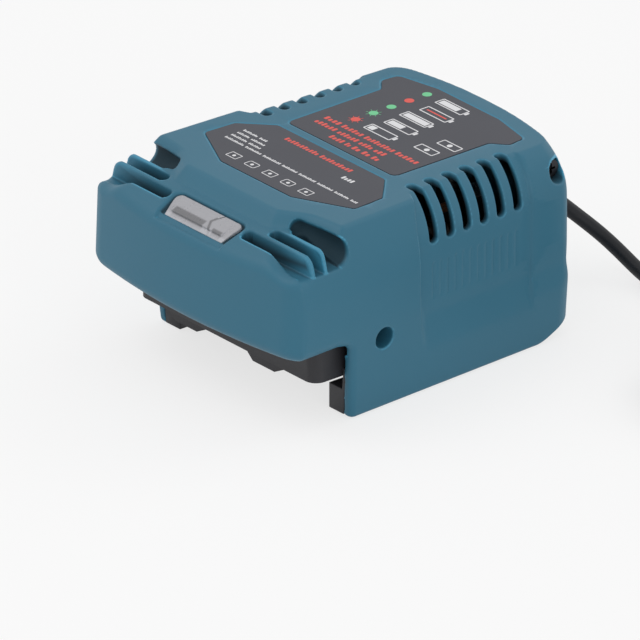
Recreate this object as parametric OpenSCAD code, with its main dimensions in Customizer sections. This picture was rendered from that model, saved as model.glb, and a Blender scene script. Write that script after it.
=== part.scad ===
// Charger for slide-on power tool batteries.
// X runs across, the nose faces -Y, the cord leaves at +Y, and Z = 0 is the rim that it stands on.

/* [Body] */
// Width across the nose, at the widest line of the sides
body_w = 96.4; // [92:0.2:102]
// Length from the bowed nose to the bowed back
body_l = 119.5; // [114:0.5:126]
// Height of the label face over the rim
body_h = 62; // [61:0.5:66]
// Thickness of the housing's walls
wall = 2.5; // [2:0.1:3]
// Thickness of the skirts
skirt_wall = 3.3; // [2.8:0.1:3.6]

/* [Sides] */
// Angle at which each side closes in towards the back
side_taper = 2.6; // [1.5:0.1:3.5]
// Angle at which each skirt closes in towards its rim
skirt_draft = 5; // [3:0.5:6]
// Height of the widest line
belt_z = 29; // [27:0.5:31]
// Height at which the sides begin to curve inwards
shoulder_z = 40; // [38:0.5:42]
// Radius of that curve
shoulder_r = 50; // [46:1:70]

/* [Nose] */
// Radius of the bow across the front
nose_bow_r = 250; // [200:5:320]
// Radius of the front's two corners
nose_corner_r = 12; // [10:0.5:14]
// Angle that the corner has turned through where it meets the side
crease_angle = 50; // [44:1:56]
// Height of the nose's underside
nose_z = 25; // [24:0.5:26]
// How far the nose reaches in front of the skirts
nose_reach = 28; // [26:0.5:30]
// Drop from the label face to the nose's deck
deck_drop = 4.2; // [3.6:0.1:5]
// Radius between the deck and the nose's sides
deck_side_r = 4; // [3:0.5:6]
// How far the nose's front lip falls towards its corners
lip_fall = 7.8; // [6:0.2:8]

/* [Back] */
// Radius of the bow across the back
back_bow_r = 400; // [300:10:600]
// Radius of the back's two corners
back_corner_r = 7; // [6.5:0.25:9]
// Radius of the bow across the back at the label face
crown_bow_r = 140; // [120:5:200]
// Radius at which the back curves in towards the label face
crown_curve_r = 50; // [44:1:70]
// Distance that the label face ends in front of the back
crown_in = 2.5; // [2.4:0.1:4]
// Height of the back wall's rim over the skirts' rims
back_rise = 4; // [3:0.25:5]

/* [Top block] */
// Half width of the block's straight front edge
block_front_x = 20.5; // [18:0.5:23]
// Distance from the nose to that edge
block_front_in = 19.4; // [18:0.2:21]
// Angle of the block's cut-off corners, seen from above
block_corner_angle = 32.5; // [28:0.5:36]
// Distance from the nose to the block's shoulders
block_shoulder_in = 27.6; // [26:0.2:29]
// Lean of the block's front faces
block_lean = 40; // [34:1:44]

/* [Vents] */
// Number of vent slots on each side
vent_count = 6; // [4:1:6]
// Distance between vent slots
vent_pitch = 6.75; // [6.4:0.05:6.9]
// Width of a vent slot
vent_w = 3.2; // [2.6:0.1:3.6]
// Distance from the middle to the slots' inner ends
vent_inner_x = 30.2; // [29:0.2:31]
// Height of the slots' lower ends
vent_low_z = 47; // [45:0.5:50]
// Distance from the nose to the vent panel
panel_front_in = 54; // [52:0.5:56]
// Step from the side down to the vent panel
panel_step = 2; // [1.4:0.1:2.4]
// Radius of the shoulder that the vents run over
panel_shoulder_r = 21; // [18:0.5:23]
// Height of the ledge under the vent panel
ledge_z = 24.5; // [23.5:0.5:26]
// How far the ledge falls over its width
ledge_fall = 5; // [2:0.5:6]
// Number of fine ribs under the vents
rib_count = 12; // [6:1:12]
// Distance between fine ribs
rib_pitch = 3; // [2.6:0.1:3.1]

/* [Nose louvres] */
// Height of the louvres' floors
louvre_floor_z = 51.2; // [50:0.2:53]
// Thickness of the fins between louvres
louvre_fin = 1.3; // [1:0.1:1.6]
// Width of the two narrow louvres
louvre_w = 3.6; // [3:0.1:4]
// Width of the wide louvre, which has a round back
scoop_w = 8; // [7:0.2:9]

/* [Window] */
// Width of the window
window_w = 27; // [24:0.5:30]
// Length of the window down the nose's slope
window_l = 8.4; // [7:0.2:9]
// Slope of the window
window_slope = 22.5; // [18:0.5:26]

// Thickness of the window
window_t = 1.4; // [1:0.1:2]

/* [Battery bay] */
// Clear height of the bay under the tray
bay_z = 13; // [12:0.5:14]
// Distance from the widest line of the sides to the rails' inner edges
rail_in = 13.7; // [12.7:0.1:15.2]
// Height of the rails' upper faces
rail_z = 8.6; // [7.6:0.1:8.8]
// Height of the tray's rim over the housing's rim
rail_lift = 0.4; // [0.2:0.1:1]
// Length of the rails
rail_l = 70; // [60:1:72]
// Thickness of the tray's floors and walls
tray_t = 2.5; // [2:0.1:3]
// Thickness of the liners inside the skirts
liner_t = 1.5; // [1.2:0.1:2]
// Distance from the apron to the skirts' front edges
apron_reach = 10.75; // [9:0.25:12]
// Half width of the apron
apron_x = 41; // [39:0.25:41.25]
// Clearance between the tray and the housing
fit_gap = 0.2; // [0.1:0.05:0.3]
// Width of the terminal block
block_w = 38; // [36:1:42]
// Number of contact blades
blade_count = 5; // [3:1:5]
// Distance between contact blades
blade_pitch = 7; // [6:0.25:7.5]

/* [Screws] */
// Diameter of the access holes for the screws
access_d = 6.8; // [6:0.1:7.4]
// Diameter of the screws' shanks
screw_d = 3; // [2.6:0.1:3.2]
// Diameter of the screws' heads
screw_head_d = 5.6; // [5:0.1:5.8]
// Length of the housing's screw tubes
screw_tube_l = 8; // [7:0.5:9]
// Width of the tray's lugs and posts
lug_w = 6; // [5.5:0.1:6.2]

/* [Electronics] */
// Thickness of the circuit boards
board_t = 1.6; // [1:0.1:2]
// Width of the circuit board
board_w = 58; // [57:0.5:59]
// Clearance between the circuit board and what stands at its ends
board_gap = 4; // [3:0.5:6]
// Height of the posts under the circuit board
board_post_h = 4; // [3:0.5:6]
// Diameter of the bulk capacitor
bulk_cap_d = 18; // [14:1:19]
// Height of the bulk capacitor
bulk_cap_h = 27; // [22:1:28]
// Width of the transformer's core
core_w = 30; // [28:1:32]
// Height of the transformer's core
core_h = 26; // [24:1:28]

/* [Cord] */
// Diameter of the cord
cord_d = 4.5; // [4.2:0.1:4.5]
// Height of the cord's exit
cord_exit_z = 31; // [30.5:0.5:33]
// Length of the strain relief's straight part outside the housing
relief_l = 10; // [8:0.5:11]
// Turns side by side in each layer of the coil
coil_turns = 3; // [2:1:3]
// Layers of the coil
coil_layers = 2; // [2:1:3]
// Radius to the middle of the coil's outermost turn
coil_r = 27.3; // [26:0.1:27.5]
// Width of the plug's body
plug_w = 35.3; // [33:0.1:36]
// Thickness of the plug's body
plug_t = 13.7; // [13:0.1:14.5]
// Diameter of the plug's pins
pin_d = 4; // [3.8:0.1:4.2]
// Length of the plug's pins
pin_l = 19; // [17:0.5:20]

/* [Hidden] */
$fn = 64;
big = 200;
eps = 0.01;
side_steps = 8;
corner_steps = 6;
bow_steps = 6;

half_w = body_w / 2;
front_y = -body_l / 2;
back_y = body_l / 2;

// The nose's corners touch the bow, and turn through crease_angle to meet the sides.
corner_x = half_w - nose_corner_r * sin(crease_angle);
corner_y = front_y + nose_bow_r - sqrt(pow(nose_bow_r - nose_corner_r, 2) - pow(corner_x, 2));
crease_y = corner_y - nose_corner_r * cos(crease_angle);
skirt_y = front_y + nose_reach;

crown_y = back_y - crown_in;
panel_front_y = front_y + panel_front_in;
panel_back_y = front_y + 99.5;
panel_shoulder_z = body_h - 15;
hollow_z = ledge_z - wall;

function side_x(y) = half_w - (y - crease_y) * tan(side_taper);

deck_z = body_h - deck_drop;
deck_y = front_y + 15.9;
deck_slope = 9;
window_y = front_y + 8.3;
window_z = deck_z - 2.2;
vent_y = panel_front_y + 6.4;

// Points along an arc, from angle a to angle b.
function arc(x, y, r, a, b, steps) =
    [for (k = [0:steps]) [x + r * cos(a + (b - a) * k / steps), y + r * sin(a + (b - a) * k / steps)]];

function mirrored(points) = [for (k = [len(points) - 1:-1:0]) [-points[k][0], points[k][1]]];

// ---- Housing forms. Each takes the distance that its surface is moved inwards. ----

// Everything inside one side surface: drafted below the belt, straight, then curving in.
module side_form(inset, step, curve_z, curve_r) {
    top = min(body_h + 4, curve_z + curve_r - inset);
    top_angle = asin((top - curve_z) / (curve_r - inset));
    lean = (belt_z + 1) * tan(skirt_draft);
    translate([half_w, crease_y, 0])
        rotate([90, 0, side_taper])
            linear_extrude(height = 2 * big, center = true)
                polygon(concat(
                    [[-big, -1], [-inset - step - lean, -1], [-inset - step, belt_z]],
                    arc(-curve_r - step, curve_z, curve_r - inset, 0, top_angle, side_steps),
                    [[-big, top]]
                ));
}

module both_sides(inset = 0, step = 0, curve_z = shoulder_z, curve_r = shoulder_r) {
    intersection() {
        side_form(inset, step, curve_z, curve_r);
        mirror([1, 0, 0])
            side_form(inset, step, curve_z, curve_r);
    }
}

// Half of the outline at the back: a round corner that ends at the side, then a shallow bow.
function back_half(inset) = let(
    corner_in_x = side_x(back_y) - back_corner_r,
    corner_in_y = back_y - back_bow_r + sqrt(pow(back_bow_r - back_corner_r, 2) - pow(corner_in_x, 2)),
    turn = asin(corner_in_x / (back_bow_r - back_corner_r))
) concat(
    arc(corner_in_x, corner_in_y, back_corner_r - inset, 0, 90 - turn, corner_steps),
    arc(0, back_y - back_bow_r, back_bow_r - inset, 90 - turn, 90, bow_steps)
);

// Half of the outline at the front. The corner runs on past the side, and both_sides() trims it.
function front_half(inset) = let(
    turn = asin(corner_x / (nose_bow_r - nose_corner_r))
) concat(
    arc(0, front_y + nose_bow_r, nose_bow_r - inset, -90, turn - 90, bow_steps),
    arc(corner_x, corner_y, nose_corner_r - inset, turn - 90, 0, corner_steps)
);

// Outline from above.
module plan(inset = 0) {
    half = concat(front_half(inset), back_half(inset));
    polygon(concat(half, mirrored(half)));
}

// Rounds the back inwards towards the label face, where its bow is deeper.
module back_crown(inset) {
    top = body_h + 4;
    fall = crown_curve_r - sqrt(pow(crown_curve_r, 2) - pow(body_h - shoulder_z, 2));
    top_angle = asin((top - shoulder_z) / (crown_curve_r - inset));
    translate([0, crown_y - crown_bow_r, 0])
        rotate_extrude($fn = 360)
            polygon(concat(
                [[0, -1], [crown_bow_r + fall - inset, -1]],
                arc(crown_bow_r + fall - crown_curve_r, shoulder_z, crown_curve_r - inset, 0, top_angle,
                    side_steps),
                [[0, top]]
            ));
}

// Everything in front of a plane through (x, y) on the label face that leans back by block_lean.
module ahead_of(x, y, turn, inset) {
    translate([x, y, body_h])
        rotate([0, 0, turn])
            rotate([-block_lean, 0, 0])
                translate([-big, inset - big, -big])
                    cube([2 * big, big, 2 * big]);
}

// Everything above the nose's deck and window slope, with a round lip down to the front.
module above_deck(inset) {
    rotate([90, 0, 90])
        linear_extrude(height = 2 * big, center = true)
            polygon([
                [0, big],
                [0, deck_z - deck_y * tan(deck_slope) - inset],
                [deck_y, deck_z - inset],
                [window_y + window_l / 2, window_z + window_l / 2 * tan(window_slope) - inset],
                [window_y - window_l / 2, window_z - window_l / 2 * tan(window_slope) - inset],
                [front_y + 2.2, window_z - 3.6 - inset],
                [front_y + 0.5, window_z - 6 - inset],
                [front_y - 1, window_z - 10 - inset],
                [front_y - big, window_z - 10 - inset],
                [front_y - big, big]
            ]);
}

// What is taken off around the front of the top block, down to the deck.
module deck_cut(inset = 0) {
    for (side = [0, 1])
        mirror([side, 0, 0])
            intersection() {
                above_deck(inset);
                translate([-eps, -big, 0])
                    cube([big, 2 * big, big]);
                ahead_of(side_x(skirt_y), front_y + block_shoulder_in, 7, -inset);
                union() {
                    ahead_of(0, front_y + block_front_in, 0, -inset);
                    ahead_of(block_front_x, front_y + block_front_in, block_corner_angle, -inset);
                }
            }
}

// Rounds the nose's upper side edges.
module deck_side_cut(inset = 0) {
    edge_x = half_w - 0.6;
    for (side = [-1, 1])
        translate([side * (edge_x - deck_side_r), skirt_y + 2, deck_z - 0.4 - deck_side_r])
            rotate([90, 0, 0])
                linear_extrude(height = nose_reach + 5)
                    difference() {
                        translate([side > 0 ? 0 : -big, 0])
                            square([big, big]);
                        circle(r = deck_side_r - inset);
                    }
}

// Lowers the front lip in a sweep on both sides of the window, down to the louvres' floors at the corners.
module lip_cut(inset = 0) {
    lip_back_y = louvre_1_y + louvre_w / 2;
    lip_z = body_h - 2.6 - inset;
    start_x = 22;
    end_x = 43;
    steps = 8;
    sweep = [for (k = [0:steps]) let(t = k / steps)
        [start_x + (end_x - start_x) * t, lip_z - lip_fall * t * t * (3 - 2 * t)]];
    for (side = [0, 1])
        mirror([side, 0, 0])
            translate([0, lip_back_y, 0])
                rotate([90, 0, 0])
                    linear_extrude(height = lip_back_y - front_y + 1)
                        polygon(concat(sweep, [[body_w, lip_z - lip_fall], [body_w, big], [start_x, big]]));
}

// The rear part of the housing steps in above the ledge. This is the core that stays.
module panel_core(inset = 0) {
    intersection() {
        both_sides(inset, panel_step, panel_shoulder_z, panel_shoulder_r);
        translate([0, 0, -1])
            linear_extrude(height = body_h + 2)
                plan(inset + panel_step);
        back_crown(inset);
    }
}

module panel_cut(inset = 0) {
    difference() {
        translate([-big, panel_front_y - inset, ledge_z - inset])
            cube([2 * big, big, big]);
        panel_core(inset);
    }
}

// Slopes the ledge outwards along the sides and round the back.
module ledge_slope() {
    slope = [[0, 0], [0, 1], [2 * panel_step, 1], [2 * panel_step, -2 * ledge_fall]];
    for (side = [0, 1])
        mirror([side, 0, 0])
            translate([side_x(panel_front_y) - panel_step, panel_front_y, ledge_z])
                rotate([90, 0, 180 + side_taper])
                    mirror([1, 0, 0])
                        linear_extrude(height = big)
                            polygon(slope);
    translate([0, back_y - back_bow_r, ledge_z])
        rotate_extrude($fn = 720)
            translate([back_bow_r - panel_step, 0])
                polygon(slope);
}

module body_form(inset = 0) {
    difference() {
        intersection() {
            both_sides(inset);
            linear_extrude(height = body_h - inset)
                plan(inset);
        }
        deck_cut(inset);
        deck_side_cut(inset);
        lip_cut(inset);
        panel_cut(inset);
    }
}

// ---- Housing details ----

module vent_slot() {
    slot_r = vent_w / 2;
    side_in = side_x(vent_y) - panel_step - vent_inner_x;
    // across the top
    translate([vent_inner_x + slot_r, 0, vent_low_z])
        cylinder(h = big, r = slot_r);
    translate([vent_inner_x + slot_r, -slot_r, vent_low_z])
        cube([big, vent_w, big]);
    // down the side
    translate([vent_inner_x + side_in - 2 * wall, 0, vent_low_z])
        rotate([0, 90, 0])
            cylinder(h = big, r = slot_r);
}

module vents() {
    for (side = [0, 1], k = [0:vent_count - 1])
        mirror([side, 0, 0])
            translate([0, vent_y + k * vent_pitch, 0])
                vent_slot();
}

module fine_ribs() {
    rib_w = 0.8;
    rib_h = 11.5;
    for (side = [0, 1], k = [0:rib_count - 1])
        mirror([side, 0, 0])
            translate([side_x(vent_y + k * rib_pitch) - panel_step - 0.5, vent_y + 1 + k * rib_pitch, 29.5])
                cube([5, rib_w, rib_h]);
}

// Louvres at one corner: two narrow ones, then a wide one with a round back.
louvre_1_y = front_y + 8.4;
louvre_2_y = louvre_1_y + louvre_w + louvre_fin;
scoop_y = louvre_2_y + louvre_w + louvre_fin;

module louvre(x, y, width) {
    r = width / 2;
    translate([x + r, y + r, louvre_floor_z])
        cylinder(h = big, r = r);
    translate([x + r, y, louvre_floor_z])
        cube([big, width, big]);
}

module scoop(x, y) {
    r = scoop_w / 2;
    translate([x, y, louvre_floor_z]) {
        translate([r, r, 0])
            cylinder(h = big, r = r);
        translate([r, 0, 0])
            cube([big, scoop_w, r]);
        translate([r, r, r])
            rotate([0, 90, 0])
                cylinder(h = big, r = r);
        translate([r, 0, r])
            cube([big, r, big]);
    }
}

module louvres() {
    for (side = [0, 1])
        mirror([side, 0, 0]) {
            louvre(16.4, louvre_1_y, louvre_w);
            louvre(24.1, louvre_2_y, louvre_w);
            scoop(26.6, scoop_y);
        }
}

// Solid left around the louvres, so that they don't open into the housing.
module louvre_backs() {
    for (side = [0, 1])
        mirror([side, 0, 0])
            translate([16.4 - wall, louvre_1_y - wall, louvre_floor_z - wall])
                cube([big, scoop_y + scoop_w + 2 * wall - louvre_1_y, big]);
}

// A screw tube inside the housing. Its axis runs in from the side surface.
module at_screw(y, z) {
    for (side = [0, 1])
        mirror([side, 0, 0])
            translate([tube_in_x(y), y, z])
                rotate([0, 90, 0])
                    children();
}

side_screw_y = front_y + 39.9;
side_screw_z = 23.6;
rear_screw_y = back_y - 8.2;
rear_screw_z = body_h - 7.9;
tube_d = access_d + 2 * 1.8;
seat_t = 2;
function tube_in_x(y) = side_x(y) - screw_tube_l - wall;

module screw_tubes() {
    intersection() {
        union() {
            at_screw(side_screw_y, side_screw_z)
                cylinder(h = 2 * screw_tube_l, d = tube_d);
            at_screw(rear_screw_y, rear_screw_z)
                cylinder(h = 2 * screw_tube_l, d = tube_d);
        }
        body_form(wall / 2);
    }
}

module screw_holes() {
    at_screw(side_screw_y, side_screw_z) {
        translate([0, 0, seat_t])
            cylinder(h = big, d = access_d);
        translate([0, 0, -1])
            cylinder(h = seat_t + 2, d = screw_d + 0.4);
    }
    at_screw(rear_screw_y, rear_screw_z) {
        translate([0, 0, seat_t])
            cylinder(h = big, d = access_d);
        translate([0, 0, -1])
            cylinder(h = seat_t + 2, d = screw_d + 0.4);
    }
}

// Places children on the window's slope, with Z out of the nose.
module on_window() {
    translate([0, window_y, window_z])
        rotate([window_slope, 0, 0])
            children();
}

module window_seat() {
    on_window() {
        translate([-window_w / 2 - 1.2, -window_l / 2 - 1.2, -0.8])
            cube([window_w + 2.4, window_l + 2.4, 10]);
        translate([-window_w / 2 + 1.5, -window_l / 2 + 1.5, -10])
            cube([window_w - 3, window_l - 3, 20]);
    }
}

// Label recesses are as deep as the labels, plus a little.
label_t = 0.4;
label_gap = 0.25;

// Unit vectors from a corner of an outline to its neighbours, half the angle between them, and 1 where the
// corner points outwards or -1 where it points inwards.
function corner_at(outline, k) = let(
    last = len(outline) - 1,
    before = unit(outline[k == 0 ? last : k - 1] - outline[k]),
    after = unit(outline[k == last ? 0 : k + 1] - outline[k])
) [before, after, acos(before * after) / 2, sign(cross(after, before))];

// An outline with all its sides moved outwards.
function grown(outline, grow) = [for (k = [0:len(outline) - 1]) let(
    corner = corner_at(outline, k)
) outline[k] - corner[3] * grow / sin(corner[2]) * unit(corner[0] + corner[1])];

// An outline with all its corners rounded to radius r.
function rounded(outline, r) = [for (k = [0:len(outline) - 1]) let(
    corner = corner_at(outline, k),
    centre = outline[k] + r / sin(corner[2]) * unit(corner[0] + corner[1]),
    start = unit(outline[k] + r / tan(corner[2]) * corner[0] - centre),
    end = unit(outline[k] + r / tan(corner[2]) * corner[1] - centre)
) each [for (t = [0:0.25:1]) centre + r * unit((1 - t) * start + t * end)]];

module front_label_plan(grow = 0) {
    front_label_y = front_y + 29;
    half = [
        [16.2, front_label_y],
        [34.6, front_label_y + 9],
        [34, front_label_y + 20],
        [24.6, front_label_y + 28.8]
    ];
    polygon(rounded(grown(concat(half, mirrored(half)), grow), 1.6));
}

// The rear label widens into two ears and follows the bow of the back.
module rear_label_plan(grow = 0) {
    rear_label_y = panel_front_y + 7.4;
    ear_y = back_y - 11.8;
    half = [
        [24.6, rear_label_y],
        [24.6, ear_y - 10],
        [29.4, ear_y - 6],
        [28.8, ear_y],
        [14, ear_y + 3]
    ];
    polygon(rounded(grown(concat(half, mirrored(half)), grow), 2));
}

module label_recesses() {
    translate([0, 0, body_h - label_t])
        linear_extrude(height = 5) {
            front_label_plan(label_gap);
            rear_label_plan(label_gap);
        }
}

// The cord's hole is a bore in the back wall, with a flat face on both sides for the relief's flanges.
relief_neck_d = cord_d + 3;
relief_flange_d = cord_d + 7;
relief_flange_t = 1.5;
spot_depth = 0.15;
neck_in_y = back_y - panel_step - wall + spot_depth;
neck_out_y = back_y - panel_step - spot_depth;
relief_in_y = neck_in_y - relief_flange_t;

module along_cord(y) {
    translate([0, y, cord_exit_z])
        rotate([-90, 0, 0])
            children();
}

module cord_hole() {
    along_cord(neck_in_y - 10)
        cylinder(h = 30, d = relief_neck_d);
    along_cord(neck_in_y - 5)
        cylinder(h = 5, d = relief_flange_d + 1);
    along_cord(neck_out_y)
        cylinder(h = 5, d = relief_flange_d + 1);
}

// The hollow under the nose and between the skirts.
module skirt_hollow() {
    intersection() {
        both_sides(skirt_wall);
        translate([0, 0, -1])
            linear_extrude(height = hollow_z + 1)
                plan(skirt_wall);
    }
}

// The back wall's rim stands higher than the skirts' rims, which slope up to it.
module back_rim_cut() {
    slope_l = 2.05 * back_rise;
    slope_y = back_y - 14.6;
    rotate([90, 0, 90])
        linear_extrude(height = 2 * big, center = true)
            polygon([
                [slope_y - slope_l, -back_rise],
                [slope_y + slope_l, back_rise],
                [big, back_rise],
                [big, -back_rise]
            ]);
}

module housing_shell() {
    difference() {
        body_form();
        difference() {
            body_form(wall);
            translate([-big, -big, -2])
                cube([2 * big, 2 * big, hollow_z + 1]);
            louvre_backs();
        }
        skirt_hollow();
        ledge_slope();
        nose_underside();
        back_rim_cut();
    }
}

module top_housing() {
    color("steelblue")
        difference() {
            union() {
                housing_shell();
                screw_tubes();
            }
            vents();
            fine_ribs();
            louvres();
            screw_holes();
            window_seat();
            label_recesses();
            cord_hole();
        }
}

// The nose ends at nose_z in front of the skirts.
module nose_underside() {
    translate([-half_w - 1, front_y - 1, -1])
        cube([body_w + 2, nose_reach + 1, nose_z + 1]);
}

// ---- Battery tray ----

tray_z = bay_z + tray_t;
apron_y = skirt_y - apron_reach;
apron_r = 4;
stop_y = skirt_y + rail_l;
bay_w = body_w - 2 * rail_in;
nose_plate_z = nose_z + 0.5;
nose_plate_top = nose_plate_z + tray_t;
board_z = tray_z + board_post_h;
board_top = board_z + board_t;
board_front_y = apron_y + tray_t + board_gap;
board_hole_in = 5;
screw_head_h = 2.2;
saddle_l = 6;
saddle_y = relief_in_y - 1.9 - saddle_l;
board_l = saddle_y - board_gap - board_front_y;
saddle_x = 9;
clamp_screw_x = 6.3;

// What fits between the skirts and inside the back wall.
module between_skirts(low, high, inset = 0) {
    intersection() {
        both_sides(skirt_wall + fit_gap + inset);
        translate([0, 0, low])
            linear_extrude(height = high - low)
                plan(skirt_wall + fit_gap + inset);
    }
}

module from_to(y1, y2) {
    intersection() {
        translate([-big, y1, -1])
            cube([2 * big, y2 - y1, big]);
        children();
    }
}

// The apron's outline, with round front corners.
module apron_plan(inset = 0) {
    x = apron_x - inset;
    r = apron_r - inset / 2;
    half = concat(
        [[0, apron_y + inset]],
        arc(x - r, apron_y + inset + r, r, -90, 0, 8),
        [[x, skirt_y + 3]]
    );
    polygon(concat(half, mirrored(half)));
}

module apron_box() {
    difference() {
        translate([0, 0, bay_z])
            linear_extrude(height = nose_plate_top - bay_z)
                apron_plan();
        translate([0, 0, tray_z])
            linear_extrude(height = big)
                apron_plan(tray_t);
        translate([tray_t - apron_x, skirt_y, tray_z])
            cube([2 * (apron_x - tray_t), 10, big]);
    }
}

module nose_plate() {
    difference() {
        from_to(front_y, skirt_y + 2)
            intersection() {
                both_sides(wall + fit_gap);
                translate([0, 0, nose_plate_z])
                    linear_extrude(height = tray_t)
                        plan(wall + fit_gap);
            }
        linear_extrude(height = big)
            apron_plan(tray_t / 2);
    }
}

module liners() {
    from_to(skirt_y + fit_gap, stop_y + 1)
        difference() {
            between_skirts(rail_lift, bay_z);
            between_skirts(rail_lift - 1, bay_z + 1, liner_t);
        }
}

module rails() {
    for (side = [0, 1])
        mirror([side, 0, 0])
            intersection() {
                between_skirts(rail_lift, rail_z, liner_t / 2);
                translate([bay_w / 2, skirt_y + fit_gap, 0])
                    cube([big, rail_l, big]);
            }
}

module stop_wall() {
    from_to(stop_y, stop_y + tray_t)
        between_skirts(rail_lift, bay_z);
}

// Short lips with sloped ends that guide the battery under the apron.
module guide_lips() {
    for (side = [-1, 1])
        translate([side * 18, apron_y + 0.5 + tray_t, bay_z])
            rotate([90, 0, 0])
                linear_extrude(height = tray_t)
                    polygon([[-10, 1], [-9, 0], [-6, -2.6], [4, -2.6], [9, 0], [10, 1]]);
}

// A post of the tray with a round boss, whose end a screw tube meets.
module lug(y, z) {
    for (side = [0, 1])
        mirror([side, 0, 0])
            translate([tube_in_x(y) - lug_w, y - lug_w / 2, tray_z - 1])
                cube([lug_w, lug_w - 1.2, z - tray_z + 1]);
    at_screw(y, z)
        translate([0, 0, -lug_w])
            cylinder(h = lug_w, d = lug_w);
}

module at_board_corners() {
    for (x = [-1, 1], y = [board_hole_in, board_l - board_hole_in])
        translate([x * (board_w / 2 - board_hole_in), board_front_y + y, 0])
            children();
}

module saddle() {
    translate([-saddle_x, saddle_y, tray_z - 1])
        cube([2 * saddle_x, saddle_l, cord_exit_z - tray_z + 1]);
}

module led_posts() {
    for (side = [-1, 1])
        translate([side * led_post_x, led_y, nose_plate_top - 1])
            cylinder(h = led_board_z - nose_plate_top + 1, d = 4);
}

module tray_holes() {
    at_screw(side_screw_y, side_screw_z)
        translate([0, 0, -2 * lug_w])
            cylinder(h = 3 * lug_w, d = screw_d);
    at_screw(rear_screw_y, rear_screw_z)
        translate([0, 0, -2 * lug_w])
            cylinder(h = 3 * lug_w, d = screw_d);
    at_board_corners()
        translate([0, 0, tray_z - 1])
            cylinder(h = 10, d = screw_d);
    for (side = [-1, 1])
        translate([side * clamp_screw_x, saddle_y + saddle_l / 2, cord_exit_z - 9])
            cylinder(h = 10, d = screw_d);
    along_cord(saddle_y - 1)
        cylinder(h = saddle_l + 2, d = cord_d);
}

module battery_tray() {
    color("dimgray")
        difference() {
            union() {
                from_to(skirt_y + fit_gap, big)
                    between_skirts(bay_z, tray_z);
                apron_box();
                nose_plate();
                guide_lips();
                lug(side_screw_y, side_screw_z);
                lug(rear_screw_y, rear_screw_z);
                at_board_corners()
                    translate([0, 0, tray_z - 1])
                        cylinder(h = board_post_h + 1, d = 7);
                saddle();
                led_posts();
            }
            tray_holes();
        }
}

// Liners against the skirts, with the rails that the battery slides on, and the wall that it stops at.
module battery_rails() {
    color("dimgray") {
        liners();
        rails();
        stop_wall();
    }
}

// ---- Contacts in the battery bay ----

block_front_y = stop_y - 26;
block_l = 24;
block_h = 9;
blade_t = 0.8;
blade_l = 12;
blade_seat = 6;
blade_h = 6;
blade_z = bay_z - 8;

module at_blades() {
    for (k = [0:blade_count - 1])
        translate([(k - (blade_count - 1) / 2) * blade_pitch - blade_t / 2, 0, 0])
            children();
}

module terminal_block() {
    color("black")
        difference() {
            translate([-block_w / 2, 0, 0])
                rotate([90, 0, 90])
                    linear_extrude(height = block_w)
                        polygon([
                            [block_front_y, bay_z],
                            [block_front_y, bay_z - block_h + 3],
                            [block_front_y + 4, bay_z - block_h],
                            [block_front_y + block_l, bay_z - block_h],
                            [block_front_y + block_l, bay_z]
                        ]);
            at_blades()
                translate([0, block_front_y - 1, blade_z])
                    cube([blade_t, blade_seat + 1, blade_h]);
        }
}

module contact_blades() {
    color("gold")
        at_blades()
            difference() {
                translate([0, block_front_y - blade_l, blade_z])
                    cube([blade_t, blade_l + blade_seat, blade_h]);
                for (edge = [0, 1])
                    translate([-1, block_front_y - blade_l, blade_z + edge * blade_h])
                        rotate([45, 0, 0])
                            translate([0, -1, -1])
                                cube([blade_t + 2, 2, 2]);
            }
}

// ---- Window and lights ----

window_ledge = 0.8;
window_boss = 2.5;
led_d = 5;
led_h = 8.6;
led_x = 6;
led_post_x = 11;
led_y = window_y + 1.2;
led_board_z = window_z - window_boss - led_h - board_t - 3.4;

// Two clear panes on one flange, with a light well under them.
module led_window() {
    color("lightgray")
        on_window()
            difference() {
                union() {
                    translate([-window_w / 2, -window_l / 2, -window_ledge])
                        cube([window_w, window_l, window_t]);
                    translate([fit_gap - window_w / 2 + 1.5, fit_gap - window_l / 2 + 1.5, -window_boss])
                        cube([window_w - 3 - 2 * fit_gap, window_l - 3 - 2 * fit_gap, window_boss]);
                }
                translate([window_w / 6, -window_l, window_t - window_ledge - 0.4])
                    cube([0.8, 2 * window_l, 1]);
                translate([0, window_l / 2, window_t - window_ledge])
                    rotate([45, 0, 0])
                        cube([window_w + 2, 0.6, 0.6], center = true);
                translate([0, -window_l / 2, window_t - window_ledge])
                    rotate([45, 0, 0])
                        cube([window_w + 2, 0.6, 0.6], center = true);
            }
}

module led(x) {
    translate([x, led_y, led_board_z + board_t]) {
        cylinder(h = 1, d = led_d + 0.8);
        cylinder(h = led_h - led_d / 2, d = led_d);
        translate([0, 0, led_h - led_d / 2])
            sphere(d = led_d);
    }
}

module red_led() {
    color("red")
        led(-led_x);
}

module green_led() {
    color("limegreen")
        led(led_x);
}

module led_board() {
    color("darkgreen")
        translate([-led_post_x - 3, led_y - 4.5, led_board_z])
            cube([2 * led_post_x + 6, 9, board_t]);
}

// ---- Labels ----

module front_label() {
    color("gray")
        translate([0, 0, body_h - label_t])
            linear_extrude(height = label_t)
                front_label_plan();
}

module rear_label() {
    color("gray")
        translate([0, 0, body_h - label_t])
            linear_extrude(height = label_t)
                rear_label_plan();
}

// ---- Electronics, standing on the circuit board ----

// Places children at x, at a part of the board's length from its front.
module on_board(x, along) {
    translate([x, board_front_y + along * board_l, board_top])
        children();
}

module circuit_board() {
    color("darkgreen")
        difference() {
            translate([-board_w / 2, board_front_y, board_z])
                cube([board_w, board_l, board_t]);
            at_board_corners()
                translate([0, 0, board_z - 1])
                    cylinder(h = board_t + 2, d = screw_d + 0.4);
        }
}

core_at = 0.54;
core_l = 11;
core_limb = 5;
core_leg = 9;
bobbin_h = 3;

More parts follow.
